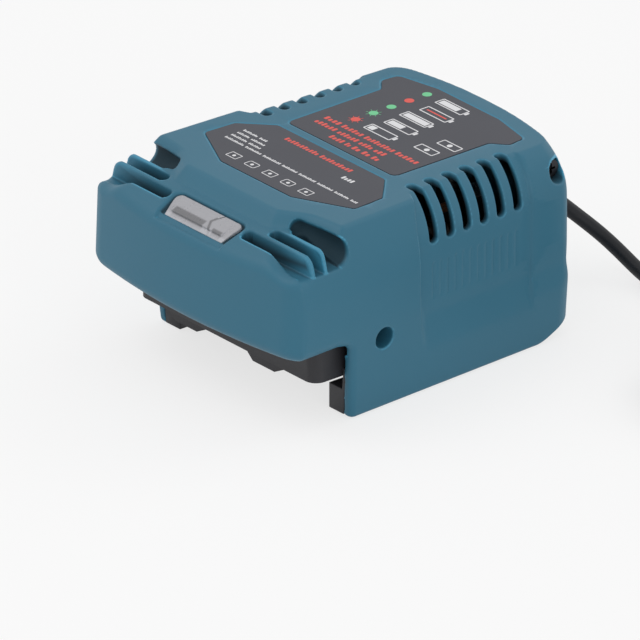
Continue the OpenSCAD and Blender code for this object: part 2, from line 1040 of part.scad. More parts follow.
// Two E halves that meet round the winding.
module transformer_core() {
    window_in = (core_w - 2 * core_limb - core_leg) / 2;
    color("dimgray")
        on_board(0, core_at)
            translate([0, core_l / 2, bobbin_h])
                rotate([90, 0, 0])
                    linear_extrude(height = core_l)
                        difference() {
                            translate([-core_w / 2, 0])
                                square([core_w, core_h]);
                            translate([core_leg / 2, core_limb])
                                square([window_in, core_h - 2 * core_limb]);
                            translate([-core_leg / 2 - window_in, core_limb])
                                square([window_in, core_h - 2 * core_limb]);
                        }
}

module transformer_winding() {
    coil_h = core_h - 2 * core_limb;
    coil_x = core_w / 2 - core_limb - 0.6;
    coil_y = core_l / 2 + 7;
    color("khaki")
        on_board(0, core_at)
            difference() {
                union() {
                    translate([-coil_x, -coil_y + 3, bobbin_h + core_limb])
                        cube([2 * coil_x, 2 * coil_y - 6, coil_h]);
                    for (end = [-1, 1], x = [-1, 1])
                        translate([x * (coil_x - 3), end * (coil_y - 3), bobbin_h + core_limb])
                            cylinder(h = coil_h, r = 3);
                    for (end = [-1, 1]) {
                        translate([3 - coil_x, end * (coil_y - 3) - 3, bobbin_h + core_limb])
                            cube([2 * coil_x - 6, 6, coil_h]);
                        translate([-core_w / 2, end * (coil_y - 2.5) - 2.5, 0])
                            cube([core_w, 5, bobbin_h + core_limb + 1]);
                    }
                }
                translate([-core_leg / 2, -core_l / 2, 0])
                    cube([core_leg, core_l, big]);
            }
}

// A can capacitor: a rolled groove near its foot and a round upper edge.
module can(d, h) {
    difference() {
        union() {
            cylinder(h = h - 1, d = d);
            cylinder(h = h, d = d - 2);
            translate([0, 0, h - 1])
                rotate_extrude()
                    translate([d / 2 - 1, 0])
                        circle(r = 1, $fn = 32);
        }
        translate([0, 0, 3])
            rotate_extrude()
                translate([d / 2 + 0.4, 0])
                    circle(r = 1, $fn = 32);
    }
}

module bulk_capacitor() {
    color("navy")
        on_board(-17, 0.25)
            can(bulk_cap_d, bulk_cap_h);
}

module output_capacitors() {
    color("black")
        for (k = [0, 1])
            on_board(4 + 12 * k, 0.18 - 0.05 * k)
                can(10, 16);
}

module line_choke() {
    color("goldenrod")
        on_board(9, 0.84)
            rotate_extrude()
                translate([6.5, 0]) {
                    translate([0, 3])
                        circle(r = 3);
                    translate([0, 6])
                        circle(r = 3);
                    translate([-3, 3])
                        square([6, 3]);
                    translate([-1.5, 0])
                        square([3, 1]);
                }
}

module film_capacitor() {
    case_w = 13;
    case_h = 11;
    color("khaki")
        on_board(-14.5, 0.74)
            difference() {
                cube([case_w, 6, case_h]);
                for (x = [0, case_w])
                    translate([x, 3, case_h])
                        rotate([0, 45, 0])
                            cube([1.6, 8, 1.6], center = true);
            }
}

sink_at = [0.42, 0.28];
sink_t = 2;
sink_l = 24;
sink_h = 24;
fin_count = 5;

// A finned heatsink on edge. Its flat face carries one power device.
module heatsink() {
    cube([sink_t, sink_l, sink_h]);
    for (k = [0:fin_count - 1])
        translate([sink_t - 0.5, k * (sink_l - 1) / (fin_count - 1), 0])
            cube([4.5, 1, sink_h]);
}

device_t = 4.5;

// A power device with a metal tab, a moulded body and three legs.
module power_device() {
    translate([-1.3, -5, 9])
        difference() {
            cube([1.3, 10, 15]);
            translate([-1, 5, 12])
                rotate([0, 90, 0])
                    cylinder(h = 4, d = 3.4);
        }
    translate([-device_t, -5, 6])
        cube([device_t, 10, 9]);
    for (k = [-1, 0, 1])
        translate([-3, k * 2.5 - 0.4, 0])
            cube([0.6, 0.8, 7]);
}

module switch_heatsink() {
    color("silver")
        on_board(-22, sink_at[0])
            mirror([1, 0, 0])
                heatsink();
}

module switching_transistor() {
    color("black")
        on_board(-22, sink_at[0])
            mirror([1, 0, 0])
                translate([0, sink_l / 2, 0])
                    power_device();
}

module rectifier_heatsink() {
    color("silver")
        on_board(22, sink_at[1])
            heatsink();
}

module output_rectifier() {
    color("black")
        on_board(22, sink_at[1])
            translate([0, sink_l / 2, 0])
                power_device();
}

module fuse() {
    color("lightgray")
        on_board(-18, 0.77) {
            translate([0, 0, 4])
                rotate([-90, 0, 0]) {
                    cylinder(h = 12, d = 4.4);
                    for (end = [0, 9])
                        translate([0, 0, end])
                            cylinder(h = 3, d = 5);
                }
            for (end = [0.5, 9.5])
                translate([-1.5, end, 0])
                    cube([3, 2, 3]);
        }
}

module controller_chip() {
    color("black")
        on_board(-8, 0.04) {
            translate([0, 0, 0.2])
                cube([10, 4, 1.6]);
            for (k = [0:7], row = [-1, 4])
                translate([0.4 + 1.25 * k, row, 0])
                    cube([0.4, 1, 0.9]);
        }
}

// ---- Screws ----

// A pan head with a cross recess, on a shank that points down.
module screw(length) {
    translate([0, 0, -length])
        cylinder(h = length, d = screw_d);
    difference() {
        cylinder(h = screw_head_h, d = screw_head_d);
        for (turn = [0, 90])
            rotate([0, 0, turn])
                translate([-1.6, -0.35, screw_head_h - 1])
                    cube([3.2, 0.7, 2]);
    }
}

module side_screws() {
    color("silver")
        at_screw(side_screw_y, side_screw_z)
            translate([0, 0, seat_t])
                screw(seat_t + lug_w - 1);
}

module rear_screws() {
    color("silver")
        at_screw(rear_screw_y, rear_screw_z)
            translate([0, 0, seat_t])
                screw(seat_t + lug_w - 1);
}

module board_screws() {
    color("silver")
        at_board_corners()
            translate([0, 0, board_top])
                screw(board_t + board_post_h);
}

// ---- Cord at the housing ----

clamp_h = 5;

// A bar that holds the cord down in the saddle's groove.
module cord_clamp() {
    color("dimgray")
        difference() {
            translate([-saddle_x, saddle_y, cord_exit_z])
                cube([2 * saddle_x, saddle_l, clamp_h]);
            along_cord(saddle_y - 1)
                cylinder(h = saddle_l + 2, d = cord_d);
            for (side = [-1, 1])
                translate([side * clamp_screw_x, saddle_y + saddle_l / 2, cord_exit_z - 1])
                    cylinder(h = clamp_h + 2, d = screw_d + 0.4);
        }
}

module clamp_screws() {
    color("silver")
        for (side = [-1, 1])
            translate([side * clamp_screw_x, saddle_y + saddle_l / 2, cord_exit_z + clamp_h])
                screw(clamp_h + 7);
}

relief_out_y = back_y - panel_step + relief_l;
cord_in_y = saddle_y - 2;

module inner_cord() {
    color("dimgray")
        along_cord(cord_in_y)
            cylinder(h = relief_in_y - cord_in_y, d = cord_d);
}

// Two insulated leads from the cord's end down to the board.
module cord_leads() {
    lead_d = 1.8;
    run = cord_in_y - board_front_y - board_l + 3;
    color("saddlebrown")
        for (side = [-1, 1])
            translate([side * 1.1, 0, 0]) {
                along_cord(cord_in_y - run)
                    cylinder(h = run, d = lead_d);
                along_cord(cord_in_y - run)
                    sphere(d = lead_d);
                translate([0, cord_in_y - run, board_top])
                    cylinder(h = cord_exit_z - board_top, d = lead_d);
            }
}

// A neck in the wall between two flanges, then a tapering tail with grooves.
module strain_relief() {
    tail_y = neck_out_y + relief_flange_t;
    tail_l = relief_out_y - tail_y;
    color("dimgray") {
        along_cord(relief_in_y)
            cylinder(h = relief_flange_t, d = relief_flange_d);
        along_cord(relief_in_y)
            cylinder(h = neck_out_y - relief_in_y + 1, d = relief_neck_d);
        along_cord(neck_out_y)
            cylinder(h = relief_flange_t, d = relief_flange_d);
        along_cord(tail_y)
            difference() {
                cylinder(h = tail_l, d1 = cord_d + 4, d2 = cord_d + 2.2);
                for (z = [2:2.6:tail_l - 1])
                    translate([0, 0, z])
                        difference() {
                            cylinder(h = 1, d = cord_d + 6);
                            cylinder(h = 1, d = cord_d + 1.6);
                        }
            }
    }
}

// ---- Cord ----

coil_x = 108;
coil_y = 66;
coil_top = coil_layers * cord_d;
// The last turn bends inwards on top of the coil, and the plug lies there.
lead_bend_r = 4 * cord_d;
lead_bend_x = coil_x - coil_r + lead_bend_r;
plug_x = lead_bend_x + 0.8;
plug_y = coil_y + lead_bend_r;
plug_l = 35;
plug_z = coil_top + plug_t / 2;

cord_route = [
    [0, relief_out_y, cord_exit_z],
    [0, relief_out_y + 1.5, cord_exit_z],
    [0.2, 73, 29.8],
    [0.5, 76, 28.2],
    [1.4, 80, 25.2],
    [3, 84, 21.4],
    [6, 88.2, 16.8],
    [10, 91.5, 13],
    [15, 93.8, 9.4],
    [21, 94.8, 6.2],
    [28, 94.8, 3.7],
    [36, 94.4, 2.6],
    [48, 94.2, 2.3],
    [60, 94, 2.3],
    [72, 93.8, 2.3],
    [84, 93.5, 2.3],
    [94, 93.3, 2.3]
];

// The last turn climbs onto the ring, then rises over a tighter bend to the plug.
lead_turn = [for (a = [250:-20:190]) [
    coil_x + coil_r * cos(a),
    coil_y + coil_r * sin(a),
    coil_top + cord_d / 2 * cos(180 * max(0, a - 190) / 60)
]];
lead_bend = [for (a = [175:-17:90]) [
    lead_bend_x + lead_bend_r * cos(a),
    coil_y + lead_bend_r * sin(a),
    plug_z - (plug_z - coil_top - cord_d / 2) * (1 + cos(180 * (175 - a) / 85)) / 2
]];
lead_route = concat(lead_turn, lead_bend, [[plug_x, plug_y, plug_z]]);

function unit(v) = v / norm(v);
function direction(route, k) =
    unit(route[min(k + 1, len(route) - 1)] - route[max(k - 1, 0)]);

// Points of one ring square to the route, with its first point to the side.
function ring(centre, along, r, sides) = let(
    across = unit(cross(along, [0, 0, 1])),
    upright = cross(across, along)
) [for (a = [0:sides - 1]) centre + r * (cos(360 * a / sides) * across + sin(360 * a / sides) * upright)];

// A tube of one ring for each point of the route.
module swept(route, r, sides = 10) {
    last = len(route) - 1;
    points = [for (k = [0:last]) each ring(route[k], direction(route, k), r, sides)];
    polyhedron(points = points, faces = concat(
        [[for (a = [sides - 1:-1:0]) a]],
        [[for (a = [0:sides - 1]) last * sides + a]],
        [for (k = [0:last - 1], a = [0:sides - 1]) [
            k * sides + a, k * sides + (a + 1) % sides,
            (k + 1) * sides + (a + 1) % sides, (k + 1) * sides + a
        ]]
    ));
}

module mains_cord() {
    color("dimgray")
        swept(cord_route, cord_d / 2);
}

// The outer shape of all turns together.
module cord_coil() {
    color("dimgray")
        translate([coil_x, coil_y, 0])
            rotate_extrude($fn = 96)
                translate([coil_r + cord_d / 2 - coil_turns * cord_d, 0])
                    square([coil_turns * cord_d, coil_top]);
}

module plug_lead() {
    color("dimgray")
        swept(lead_route, cord_d / 2);
}

pin_gap = 19;
plug_shoulder = 8;

// Outline of the slim plug from above: wide at the pins, waisted, narrow at the cord.
module plug_plan() {
    half = [
        [0, cord_d / 2 + 1.2],
        [4, cord_d / 2 + 1.6],
        [10, plug_w / 2 - 8],
        [16, plug_w / 2 - 5.5],
        [26, plug_w / 2 - 5],
        [30, plug_w / 2 - 1],
        [plug_l - 1, plug_w / 2],
        [plug_l, plug_w / 2 - 1]
    ];
    polygon(concat(half, [for (k = [len(half) - 1:-1:0]) [half[k][0], -half[k][1]]]));
}

// Outline of the plug from the side.
module plug_side() {
    half = [
        [0, cord_d / 2 + 1],
        [5, cord_d / 2 + 1.6],
        [12, plug_t / 2 - 0.6],
        [16, plug_t / 2],
        [plug_l - 1, plug_t / 2],
        [plug_l, plug_t / 2 - 1]
    ];
    polygon(concat(half, [for (k = [len(half) - 1:-1:0]) [half[k][0], -half[k][1]]]));
}

module plug_body() {
    color("dimgray")
        translate([plug_x, plug_y, plug_z])
            intersection() {
                translate([0, 0, -plug_t])
                    linear_extrude(height = 2 * plug_t)
                        plug_plan();
                rotate([90, 0, 0])
                    translate([0, 0, -plug_w])
                        linear_extrude(height = 2 * plug_w)
                            plug_side();
            }
}

module plug_pins() {
    color("silver")
        for (side = [-1, 1])
            translate([plug_x + plug_l, plug_y + side * pin_gap / 2, plug_z])
                rotate([0, 90, 0]) {
                    cylinder(h = pin_l - pin_d / 2, d = pin_d);
                    translate([0, 0, pin_l - pin_d / 2])
                        sphere(d = pin_d);
                }
}

top_housing();
battery_tray();
battery_rails();
terminal_block();
contact_blades();
led_window();
red_led();
green_led();
led_board();
front_label();
rear_label();
circuit_board();
transformer_core();
transformer_winding();
bulk_capacitor();
output_capacitors();
line_choke();
film_capacitor();
switch_heatsink();
switching_transistor();
rectifier_heatsink();
output_rectifier();
fuse();
controller_chip();
side_screws();
rear_screws();
board_screws();
cord_clamp();
clamp_screws();
inner_cord();
cord_leads();
strain_relief();
mains_cord();
cord_coil();
plug_lead();
plug_body();
plug_pins();
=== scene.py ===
"""Looks of the battery charger: its camera, light, cord, moulded housing, window, labels and finishes.

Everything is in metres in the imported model's frame: X runs across, the nose faces -Y, the cord leaves at +Y
and Z = 0 is the rim that it stands on. The housing's own sizes are written in millimetres, as on its drawing.
"""
from math import asin, atan2, ceil, cos, hypot, pi, radians, sin, sqrt, tan

import bmesh
import bpy
import numpy as np
from mathutils import Matrix, Vector


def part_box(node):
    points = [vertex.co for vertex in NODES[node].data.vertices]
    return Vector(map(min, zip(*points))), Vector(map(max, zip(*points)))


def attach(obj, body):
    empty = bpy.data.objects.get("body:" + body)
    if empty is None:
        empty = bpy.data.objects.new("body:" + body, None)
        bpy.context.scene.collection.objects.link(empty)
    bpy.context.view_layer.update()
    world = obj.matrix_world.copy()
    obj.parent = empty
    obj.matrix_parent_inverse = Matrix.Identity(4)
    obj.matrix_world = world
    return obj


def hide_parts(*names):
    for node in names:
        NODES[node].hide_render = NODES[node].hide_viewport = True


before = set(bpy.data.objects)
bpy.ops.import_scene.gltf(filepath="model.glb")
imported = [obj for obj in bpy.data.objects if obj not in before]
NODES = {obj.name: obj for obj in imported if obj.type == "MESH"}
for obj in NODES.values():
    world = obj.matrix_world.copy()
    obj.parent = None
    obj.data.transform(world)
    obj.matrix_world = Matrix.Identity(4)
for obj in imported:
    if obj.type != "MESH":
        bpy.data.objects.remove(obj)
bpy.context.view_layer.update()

bl_info = {
    "name": "Battery charger looks",
    "version": (1, 0, 0),
    "blender": (4, 5, 0),
    "location": "View3D > Sidebar > Charger",
    "description": "Builds the finished surfaces of a battery charger round its construction solids",
    "category": "Object",
}

MM = 0.001
BODY = "root"
DRAWN_IN = 1e-3


def node_box(node):
    """Lowest and highest corner of a construction solid, in millimetres."""
    low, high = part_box(node)
    return np.array(low) / MM, np.array(high) / MM


HOUSING_LOW, HOUSING_HIGH = node_box("top_housing")
RELIEF_LOW, RELIEF_HIGH = node_box("strain_relief")
CORD_EXIT_Z = (RELIEF_LOW[2] + RELIEF_HIGH[2]) / 2


# ---------------------------------------------------------------- settings

def colour_setting(name, description, default):
    return bpy.props.FloatVectorProperty(
        name=name, description=description, subtype="COLOR", size=3, min=0, max=1, default=default)


def length_setting(name, description, default, precision, **limits):
    return bpy.props.FloatProperty(
        name=name, description=description, subtype="DISTANCE", default=default, precision=precision,
        **limits)


class HousingSettings(bpy.types.PropertyGroup):
    colour: colour_setting("Housing colour", "Colour of the moulded housing", (0.029, 0.149, 0.229))
    grain: length_setting("Grain", "Depth of the moulded grain", 0.000012, 6, min=0, max=0.0001)
    grid_step: length_setting(
        "Grid step", "Distance between the points at which the housing's form is worked out", 0.00042, 5,
        min=0.0003, max=0.002)
    edge_radius: length_setting(
        "Edge radius", "Radius of the edges round vents and louvres", 0.00042, 5, min=0.0002, max=0.001)
    triangles: bpy.props.IntProperty(
        name="Triangles", description="Most triangles that the housing may have", default=190000, min=20000)


class LabelSettings(bpy.types.PropertyGroup):
    film: colour_setting("Film colour", "Colour of the labels", (0.074, 0.076, 0.090))
    white: colour_setting("White print", "Colour of the light print", (0.80, 0.80, 0.82))
    red: colour_setting("Red print", "Colour of the red print", (0.78, 0.085, 0.065))
    green: colour_setting("Green print", "Colour of the green print", (0.16, 0.62, 0.30))
    ink: length_setting(
        "Ink thickness", "Height of the print over the film", 0.00003, 5, min=0.00001, max=0.0002)


class CordSettings(bpy.types.PropertyGroup):
    diameter: length_setting("Cord diameter", "Diameter of the mains cord", 0.0045, 4, min=0.003, max=0.008)
    length: length_setting(
        "Cord length", "Length of the mains cord from the housing to the plug", 1.0, 3, min=0.5, max=3)
    relief_length: length_setting(
        "Relief length", "Length of the strain relief outside the housing", 0.022, 3, min=0.02, max=0.06)
    colour: colour_setting("Cord colour", "Colour of the cord's jacket", (0.009, 0.010, 0.013))


class StageSettings(bpy.types.PropertyGroup):
    azimuth: bpy.props.FloatProperty(
        name="Azimuth", description="Direction that the camera looks from, round the vertical",
        subtype="ANGLE", default=radians(50.3))
    elevation: bpy.props.FloatProperty(
        name="Elevation", description="Height of the camera over the horizon", subtype="ANGLE",
        default=radians(25.3))
    distance: length_setting("Distance", "Distance from the camera to the object", 7, 2, min=1, max=20)
    width: length_setting(
        "Picture width", "Width that the camera sees at the object", 0.18963, 4, min=0.05, max=2)
    aim_right: length_setting("Aim to the right", "How far right of the origin the camera aims", -0.00482, 4)
    aim_up: length_setting("Aim up", "How far above the origin the camera aims", 0.00601, 4)
    ambient: bpy.props.FloatProperty(
        name="Ambient light", description="Strength of the light from all round", default=0.66, min=0, max=3)
    key: bpy.props.FloatProperty(
        name="Key light", description="Power of the large lamp above", default=4.4, min=0, max=100)
    floor: bpy.props.FloatProperty(
        name="Floor tone", description="Paleness of the floor", default=0.92, min=0, max=1)


# ---------------------------------------------------------------- material tools

class Value:
    """A socket of a material's node tree. Sums and products on it add Math nodes."""

    def __init__(self, finish, socket):
        self.finish = finish
        self.socket = socket

    def maths(self, operation, first, second):
        return self.finish.node("ShaderNodeMath", {"operation": operation}, {0: first, 1: second})

    def __add__(self, other):
        return self.maths("ADD", self, other)

    def __mul__(self, other):
        return self.maths("MULTIPLY", self, other)

    def __sub__(self, other):
        return self.maths("SUBTRACT", self, other)

    def __rsub__(self, other):
        return self.maths("SUBTRACT", other, self)

    __radd__ = __add__
    __rmul__ = __mul__

    def clamped(self, low, high):
        """0 below low and 1 above high, with a smooth change between them."""
        return self.finish.node(
            "ShaderNodeMapRange", {"interpolation_type": "SMOOTHSTEP", "clamp": True},
            {"Value": self, "From Min": low, "From Max": high})


class Finish:
    """A material with one Principled BSDF, and the means to add nodes to it."""

    def __init__(self, name, **sockets):
        self.material = bpy.data.materials.new(name)
        self.material.use_nodes = True
        self.tree = self.material.node_tree
        self.shader = self.tree.nodes["Principled BSDF"]
        self.place = self.node("ShaderNodeTexCoord", output="Object")
        self.set(**sockets)

    def node(self, kind, settings=None, inputs=None, output=0):
        """Adds a node, sets it up, fills its sockets with values or links, and returns one output."""
        made = self.tree.nodes.new(kind)
        for key, value in (settings or {}).items():
            setattr(made, key, value)
        for key, value in (inputs or {}).items():
            self.fill(made.inputs[key], value)
        return Value(self, made.outputs[output])

    def fill(self, socket, value):
        if isinstance(value, Value):
            self.tree.links.new(value.socket, socket)
        elif socket.type == "RGBA" and len(value) == 3:
            socket.default_value = (*value, 1)
        else:
            socket.default_value = value

    def set(self, **sockets):
        """Fills the shader's sockets. Base_Color stands for Base Color."""
        for key, value in sockets.items():
            self.fill(self.shader.inputs[key.replace("_", " ")], value)

    def stretched(self, stretch):
        """The place on the object, with patterns drawn out along the axes where stretch is over 1."""
        return self.node("ShaderNodeMapping", {}, {"Vector": self.place, "Scale": [1 / s for s in stretch]})

    def noise(self, size, detail=2.0, roughness=0.5, stretch=None):
        """Noise from 0 to 1 whose features are about size metres across."""
        place = self.stretched(stretch) if stretch else self.place
        return self.node("ShaderNodeTexNoise", {}, {
            "Vector": place, "Scale": 1 / size, "Detail": detail, "Roughness": roughness})

    def blend(self, factor, first, second):
        """A colour between two. The Mix node has its colours at the sockets 6 and 7, and their blend at 2."""
        return self.node("ShaderNodeMix", {"data_type": "RGBA"}, {0: factor, 6: first, 7: second}, output=2)

    def shades(self, factor, colour, first, second):
        """A colour between two tones of one."""
        return self.blend(factor, tone(colour, first), tone(colour, second))

    def attribute(self, name):
        return self.node("ShaderNodeAttribute", {"attribute_name": name}, output="Fac")

    def bump(self, height, depth):
        """Relief of the given depth in metres."""
        inputs = {"Height": height, "Strength": 1.0, "Distance": depth}
        self.set(Normal=self.node("ShaderNodeBump", {}, inputs))


def tone(colour, factor):
    """The colour, lighter or darker, kept inside 0 to 1."""
    return tuple(min(1.0, max(0.0, c * factor)) for c in colour)


def moulded_plastic(name, colour, grain, rough=0.5, painted_light=False):
    """Plastic from an etched mould: fine grain and faint flow mottling. With painted light it also gets a
    painted highlight on its sharp outer edges, painted shade in its inner corners and dark painted shade deep
    inside its openings."""
    finish = Finish(name)
    cloud = finish.noise(0.03, 3.0)
    fine = finish.noise(0.0004, 2.0, 0.6)
    base = finish.blend(fine * 0.5, finish.shades(cloud, colour, 0.94, 1.06), tone(colour, 0.92))
    gloss = rough + 0.10 * (fine - 0.5) + 0.06 * (cloud - 0.5)
    if painted_light:
        edge = finish.attribute("edge").clamped(0.12, 0.55)
        corner = finish.attribute("recess").clamped(0.1, 0.8)
        deep = finish.attribute("depth").clamped(0.1, 0.9)
        # Painted highlight: sharp outer edges made much lighter.
        base = finish.blend(edge * (0.6 + 0.3 * finish.noise(0.004)), base, tone(colour, 2.7))
        # Painted shade in the inner corners.
        base = finish.blend(corner * 0.45, base, tone(colour, 0.5))
        # Painted shade deep inside the openings.
        base = finish.blend(deep * 0.9, base, tone(colour, 0.12))
        gloss = gloss - 0.10 * edge + 0.15 * corner + 0.3 * deep
    finish.set(Base_Color=base, Roughness=gloss, Specular_IOR_Level=0.4)
    finish.bump(fine + 0.4 * finish.noise(0.0012), grain)
    return finish.material


def plain_metal(name, colour, rough, brushed=None):
    """Metal with fine drawn lines and dull patches."""
    finish = Finish(name, Metallic=1.0)
    lines = finish.noise(0.0003, 2.0, 0.6, brushed)
    dull = finish.noise(0.004, 3.0)
    finish.set(Base_Color=finish.blend(dull.clamped(0.35, 0.8) * 0.45, colour, tone(colour, 0.6)),
               Roughness=rough + 0.15 * (lines - 0.5) + 0.12 * (dull - 0.5))
    finish.bump(lines, 0.000004)
    return finish.material


def film(name, colour):
    """Printed label film: satin, with the faint orange peel of its coat and a few light scuffs."""
    finish = Finish(name, Specular_IOR_Level=0.2)
    weave = finish.noise(0.0006)
    scuff = finish.noise(0.002, 4.0, 0.7, (8, 1, 1)).clamped(0.62, 0.8)
    base = finish.shades(finish.noise(0.02), colour, 0.94, 1.07)
    finish.set(Base_Color=finish.blend(scuff * 0.12, base, tone(colour, 1.9)),
               Roughness=0.48 + 0.08 * weave + 0.1 * scuff)
    finish.bump(weave, 0.000006)
    return finish.material


def ink(name, colour):
    """Screen print: a nearly matt coat with pinholes where the film shows."""
    finish = Finish(name)
    pin = finish.noise(0.0002, 2.0, 0.7).clamped(0.66, 0.8)
    finish.set(Base_Color=finish.blend(pin * 0.4, colour, tone(colour, 0.5)), Roughness=0.5 + 0.1 * pin)
    return finish.material


def tube_glass(name, colour):
    """Clear glass, slightly cloudy inside."""
    finish = Finish(name, IOR=1.49, Transmission_Weight=0.75)
    haze = finish.noise(0.003, 3.0)
    finish.set(Base_Color=finish.shades(haze, colour, 0.93, 1.05), Roughness=0.05 + 0.08 * haze)
    finish.bump(haze, 0.00002)
    return finish.material


def window_plastic(name, colour):
    """Frosted clear moulding, with a painted highlight along its edges and painted shade over the dark
    pockets behind it.
    """
    finish = Finish(name, IOR=1.49, Transmission_Weight=0.15)
    haze = finish.noise(0.003)
    pocket_shade = finish.attribute("pocket_shade")
    edge = finish.attribute("edge").clamped(0.2, 0.7)
    base = finish.shades(haze, colour, 0.93, 1.07)
    # Painted shade over the pockets behind the window.
    base = finish.blend(pocket_shade * (0.9 + 0.1 * haze), base, tone(colour, 0.42))
    # Painted highlight along the window's edges.
    finish.set(Base_Color=finish.blend(edge * 0.6, base, tone(colour, 1.5)), Roughness=0.24 + 0.08 * haze)
    finish.bump(haze, 0.00001)
    return finish.material


def lamp_lens(name, colour):
    """Tinted diffused lens of an indicator lamp that is off."""
    finish = Finish(name, IOR=1.5, Transmission_Weight=0.35)
    haze = finish.noise(0.0015)
    finish.set(Base_Color=finish.shades(haze, colour, 0.8, 1.15), Roughness=0.18 + 0.15 * haze)
    return finish.material


def jacket(name, colour):
    """Cord jacket: soft satin vinyl with faint extrusion lines and dust."""
    finish = Finish(name, Specular_IOR_Level=0.3)
    fine = finish.noise(0.0004)
    dust = finish.noise(0.006, 4.0).clamped(0.55, 0.85)
    finish.set(Base_Color=finish.blend(dust * 0.25, colour, tone(colour, 2.2)),
               Roughness=0.46 + 0.12 * fine + 0.1 * dust)
    finish.bump(fine, 0.00001)
    return finish.material


def laminate(name, colour):
    """Circuit board: solder mask over a glass weave, and lighter copper areas round points 6 mm apart."""
    finish = Finish(name, Coat_Roughness=0.15)
    weave = finish.noise(0.0005, 1.0, 0.5, (4, 1, 1))
    spots = {"Vector": finish.stretched((1, 2, 1)), "Scale": 1 / 0.006}
    copper = finish.node("ShaderNodeTexVoronoi", {}, spots).clamped(0.34, 0.38)
    finish.set(Base_Color=finish.blend(copper, tone(colour, 1.5), colour), Roughness=0.35 + 0.15 * weave,
               Coat_Weight=0.25 + 0.1 * weave)
    finish.bump(copper + 0.2 * weave, 0.00003)
    return finish.material


def sleeve(name, colour, rough=0.3, grain=0.00001):
    """Shrunk or dipped coating of a component, with soft unevenness."""
    finish = Finish(name, Coat_Roughness=0.2)
    wave = finish.noise(0.002)
    fine = finish.noise(0.0003)
    finish.set(Base_Color=finish.shades(wave, colour, 0.85, 1.15), Roughness=rough + 0.1 * fine,
               Coat_Weight=0.1 + 0.1 * wave)
    finish.bump(wave + 0.3 * fine, grain)
    return finish.material


def wound(name, colour, pitch, axis):
    """Turns of tape or wire: ridges along one axis. At this scale the wave texture makes one a pitch."""
    one_a_pitch = 0.314
    finish = Finish(name)
    waves = finish.node("ShaderNodeTexWave", {"bands_direction": axis}, {
        "Vector": finish.stretched((pitch,) * 3), "Scale": one_a_pitch, "Distortion": 0.3, "Detail": 1.0})
    # Painted shade: the colour is darker in the grooves between the turns, where the bump is low.
    finish.set(Base_Color=finish.shades(waves, colour, 0.55, 1.1), Roughness=0.45 - 0.15 * waves)
    finish.bump(waves, 0.0001)
    return finish.material


# ---------------------------------------------------------------- mesh tools

def new_object(name, mesh, finishes):
    """Links a piece at the origin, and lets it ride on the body."""
    made = bpy.data.objects.new(name, mesh)
    bpy.context.scene.collection.objects.link(made)
    for finish in finishes:
        mesh.materials.append(finish)
    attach(made, BODY)
    return made


def quad_mesh(name, points, quads, smooth=True):
    """A mesh from points in millimetres and four corners a face."""
    mesh = bpy.data.meshes.new(name)
    mesh.vertices.add(len(points))
    mesh.vertices.foreach_set("co", (np.asarray(points) * MM).astype(np.float32).ravel())
    quads = np.asarray(quads, np.int32)
    mesh.loops.add(quads.size)
    mesh.loops.foreach_set("vertex_index", quads.ravel())
    mesh.polygons.add(len(quads))
    mesh.polygons.foreach_set("loop_start", np.arange(0, quads.size, 4, dtype=np.int32))
    mesh.polygons.foreach_set("use_smooth", np.full(len(quads), smooth))
    mesh.update(calc_edges=True)
    return mesh


def skin(rings, closed_ends=True):
    """Points and quads of a closed tube of rings. rings has the shape (rings, points, 3); its two ends are
    drawn together to their middles."""
    rings = np.asarray(rings, float)
    if closed_ends:
        middle = rings.mean(1, keepdims=True)
        small = middle + (rings - middle) * DRAWN_IN
        rings = np.concatenate([small[:1], rings, small[-1:]])
    count, sides = rings.shape[:2]
    row, column = np.mgrid[0:count - 1, 0:sides]
    after = (column + 1) % sides
    quads = np.stack([row * sides + column, row * sides + after, (row + 1) * sides + after,
                      (row + 1) * sides + column], -1).reshape(-1, 4)
    if closed_ends:
        first = np.arange(sides)
        quads = np.concatenate([quads, cap(first[::-1]), cap((count - 1) * sides + first)])
    return rings.reshape(-1, 3), quads


def cap(ring):
    """Quads that close a small ring with an even number of points."""
    half = len(ring) // 2
    left = ring[:half]
    right = ring[half:][::-1]
    return np.stack([left[:-1], left[1:], right[1:], right[:-1]], -1)


def joined(parts):
    """Several (points, quads) as one."""
    points, quads, start = [], [], 0
    for p, q in parts:
        points.append(p)
        quads.append(q + start)
        start += len(p)
    return np.concatenate(points), np.concatenate(quads)


def around(sides):
    """Angles that divide a circle evenly."""
    return 2 * pi * np.arange(sides) / sides


def turned(profile, sides=48):
    """A profile of (distance along, radius) carried round the X axis: x = along, y = r cos a, z = r sin a."""
    profile = np.asarray(profile, float)
    angle = around(sides)
    along = np.repeat(profile[:, :1], sides, 1)
    return np.stack([along, profile[:, 1:] * np.cos(angle), profile[:, 1:] * np.sin(angle)], -1)


def softened(node, width, finish):
    """Stands for a construction solid: its loose triangles merged, flat faces made whole, and every edge that
    bends more than 34 degrees rounded to width metres."""
    shape = bmesh.new()
    shape.from_mesh(NODES[node].data)
    bmesh.ops.remove_doubles(shape, verts=shape.verts, dist=2e-6)
    bmesh.ops.dissolve_limit(shape, angle_limit=radians(0.5), verts=shape.verts, edges=shape.edges)
    mesh = bpy.data.meshes.new(node + "_moulding")
    shape.to_mesh(mesh)
    shape.free()
    mesh.polygons.foreach_set("use_smooth", np.ones(len(mesh.polygons), bool))
    made = new_object(mesh.name, mesh, [finish])
    bevel = made.modifiers.new("Edges", "BEVEL")
    bevel.width = width
    bevel.segments = 2
    bevel.limit_method = "ANGLE"
    bevel.angle_limit = radians(34)
    bevel.harden_normals = True
    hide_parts(node)


def give(material, *nodes):
    """Construction solids keep their mesh and get a finish."""
    for node in nodes:
        data = NODES[node].data
        data.materials.clear()
        data.materials.append(material)


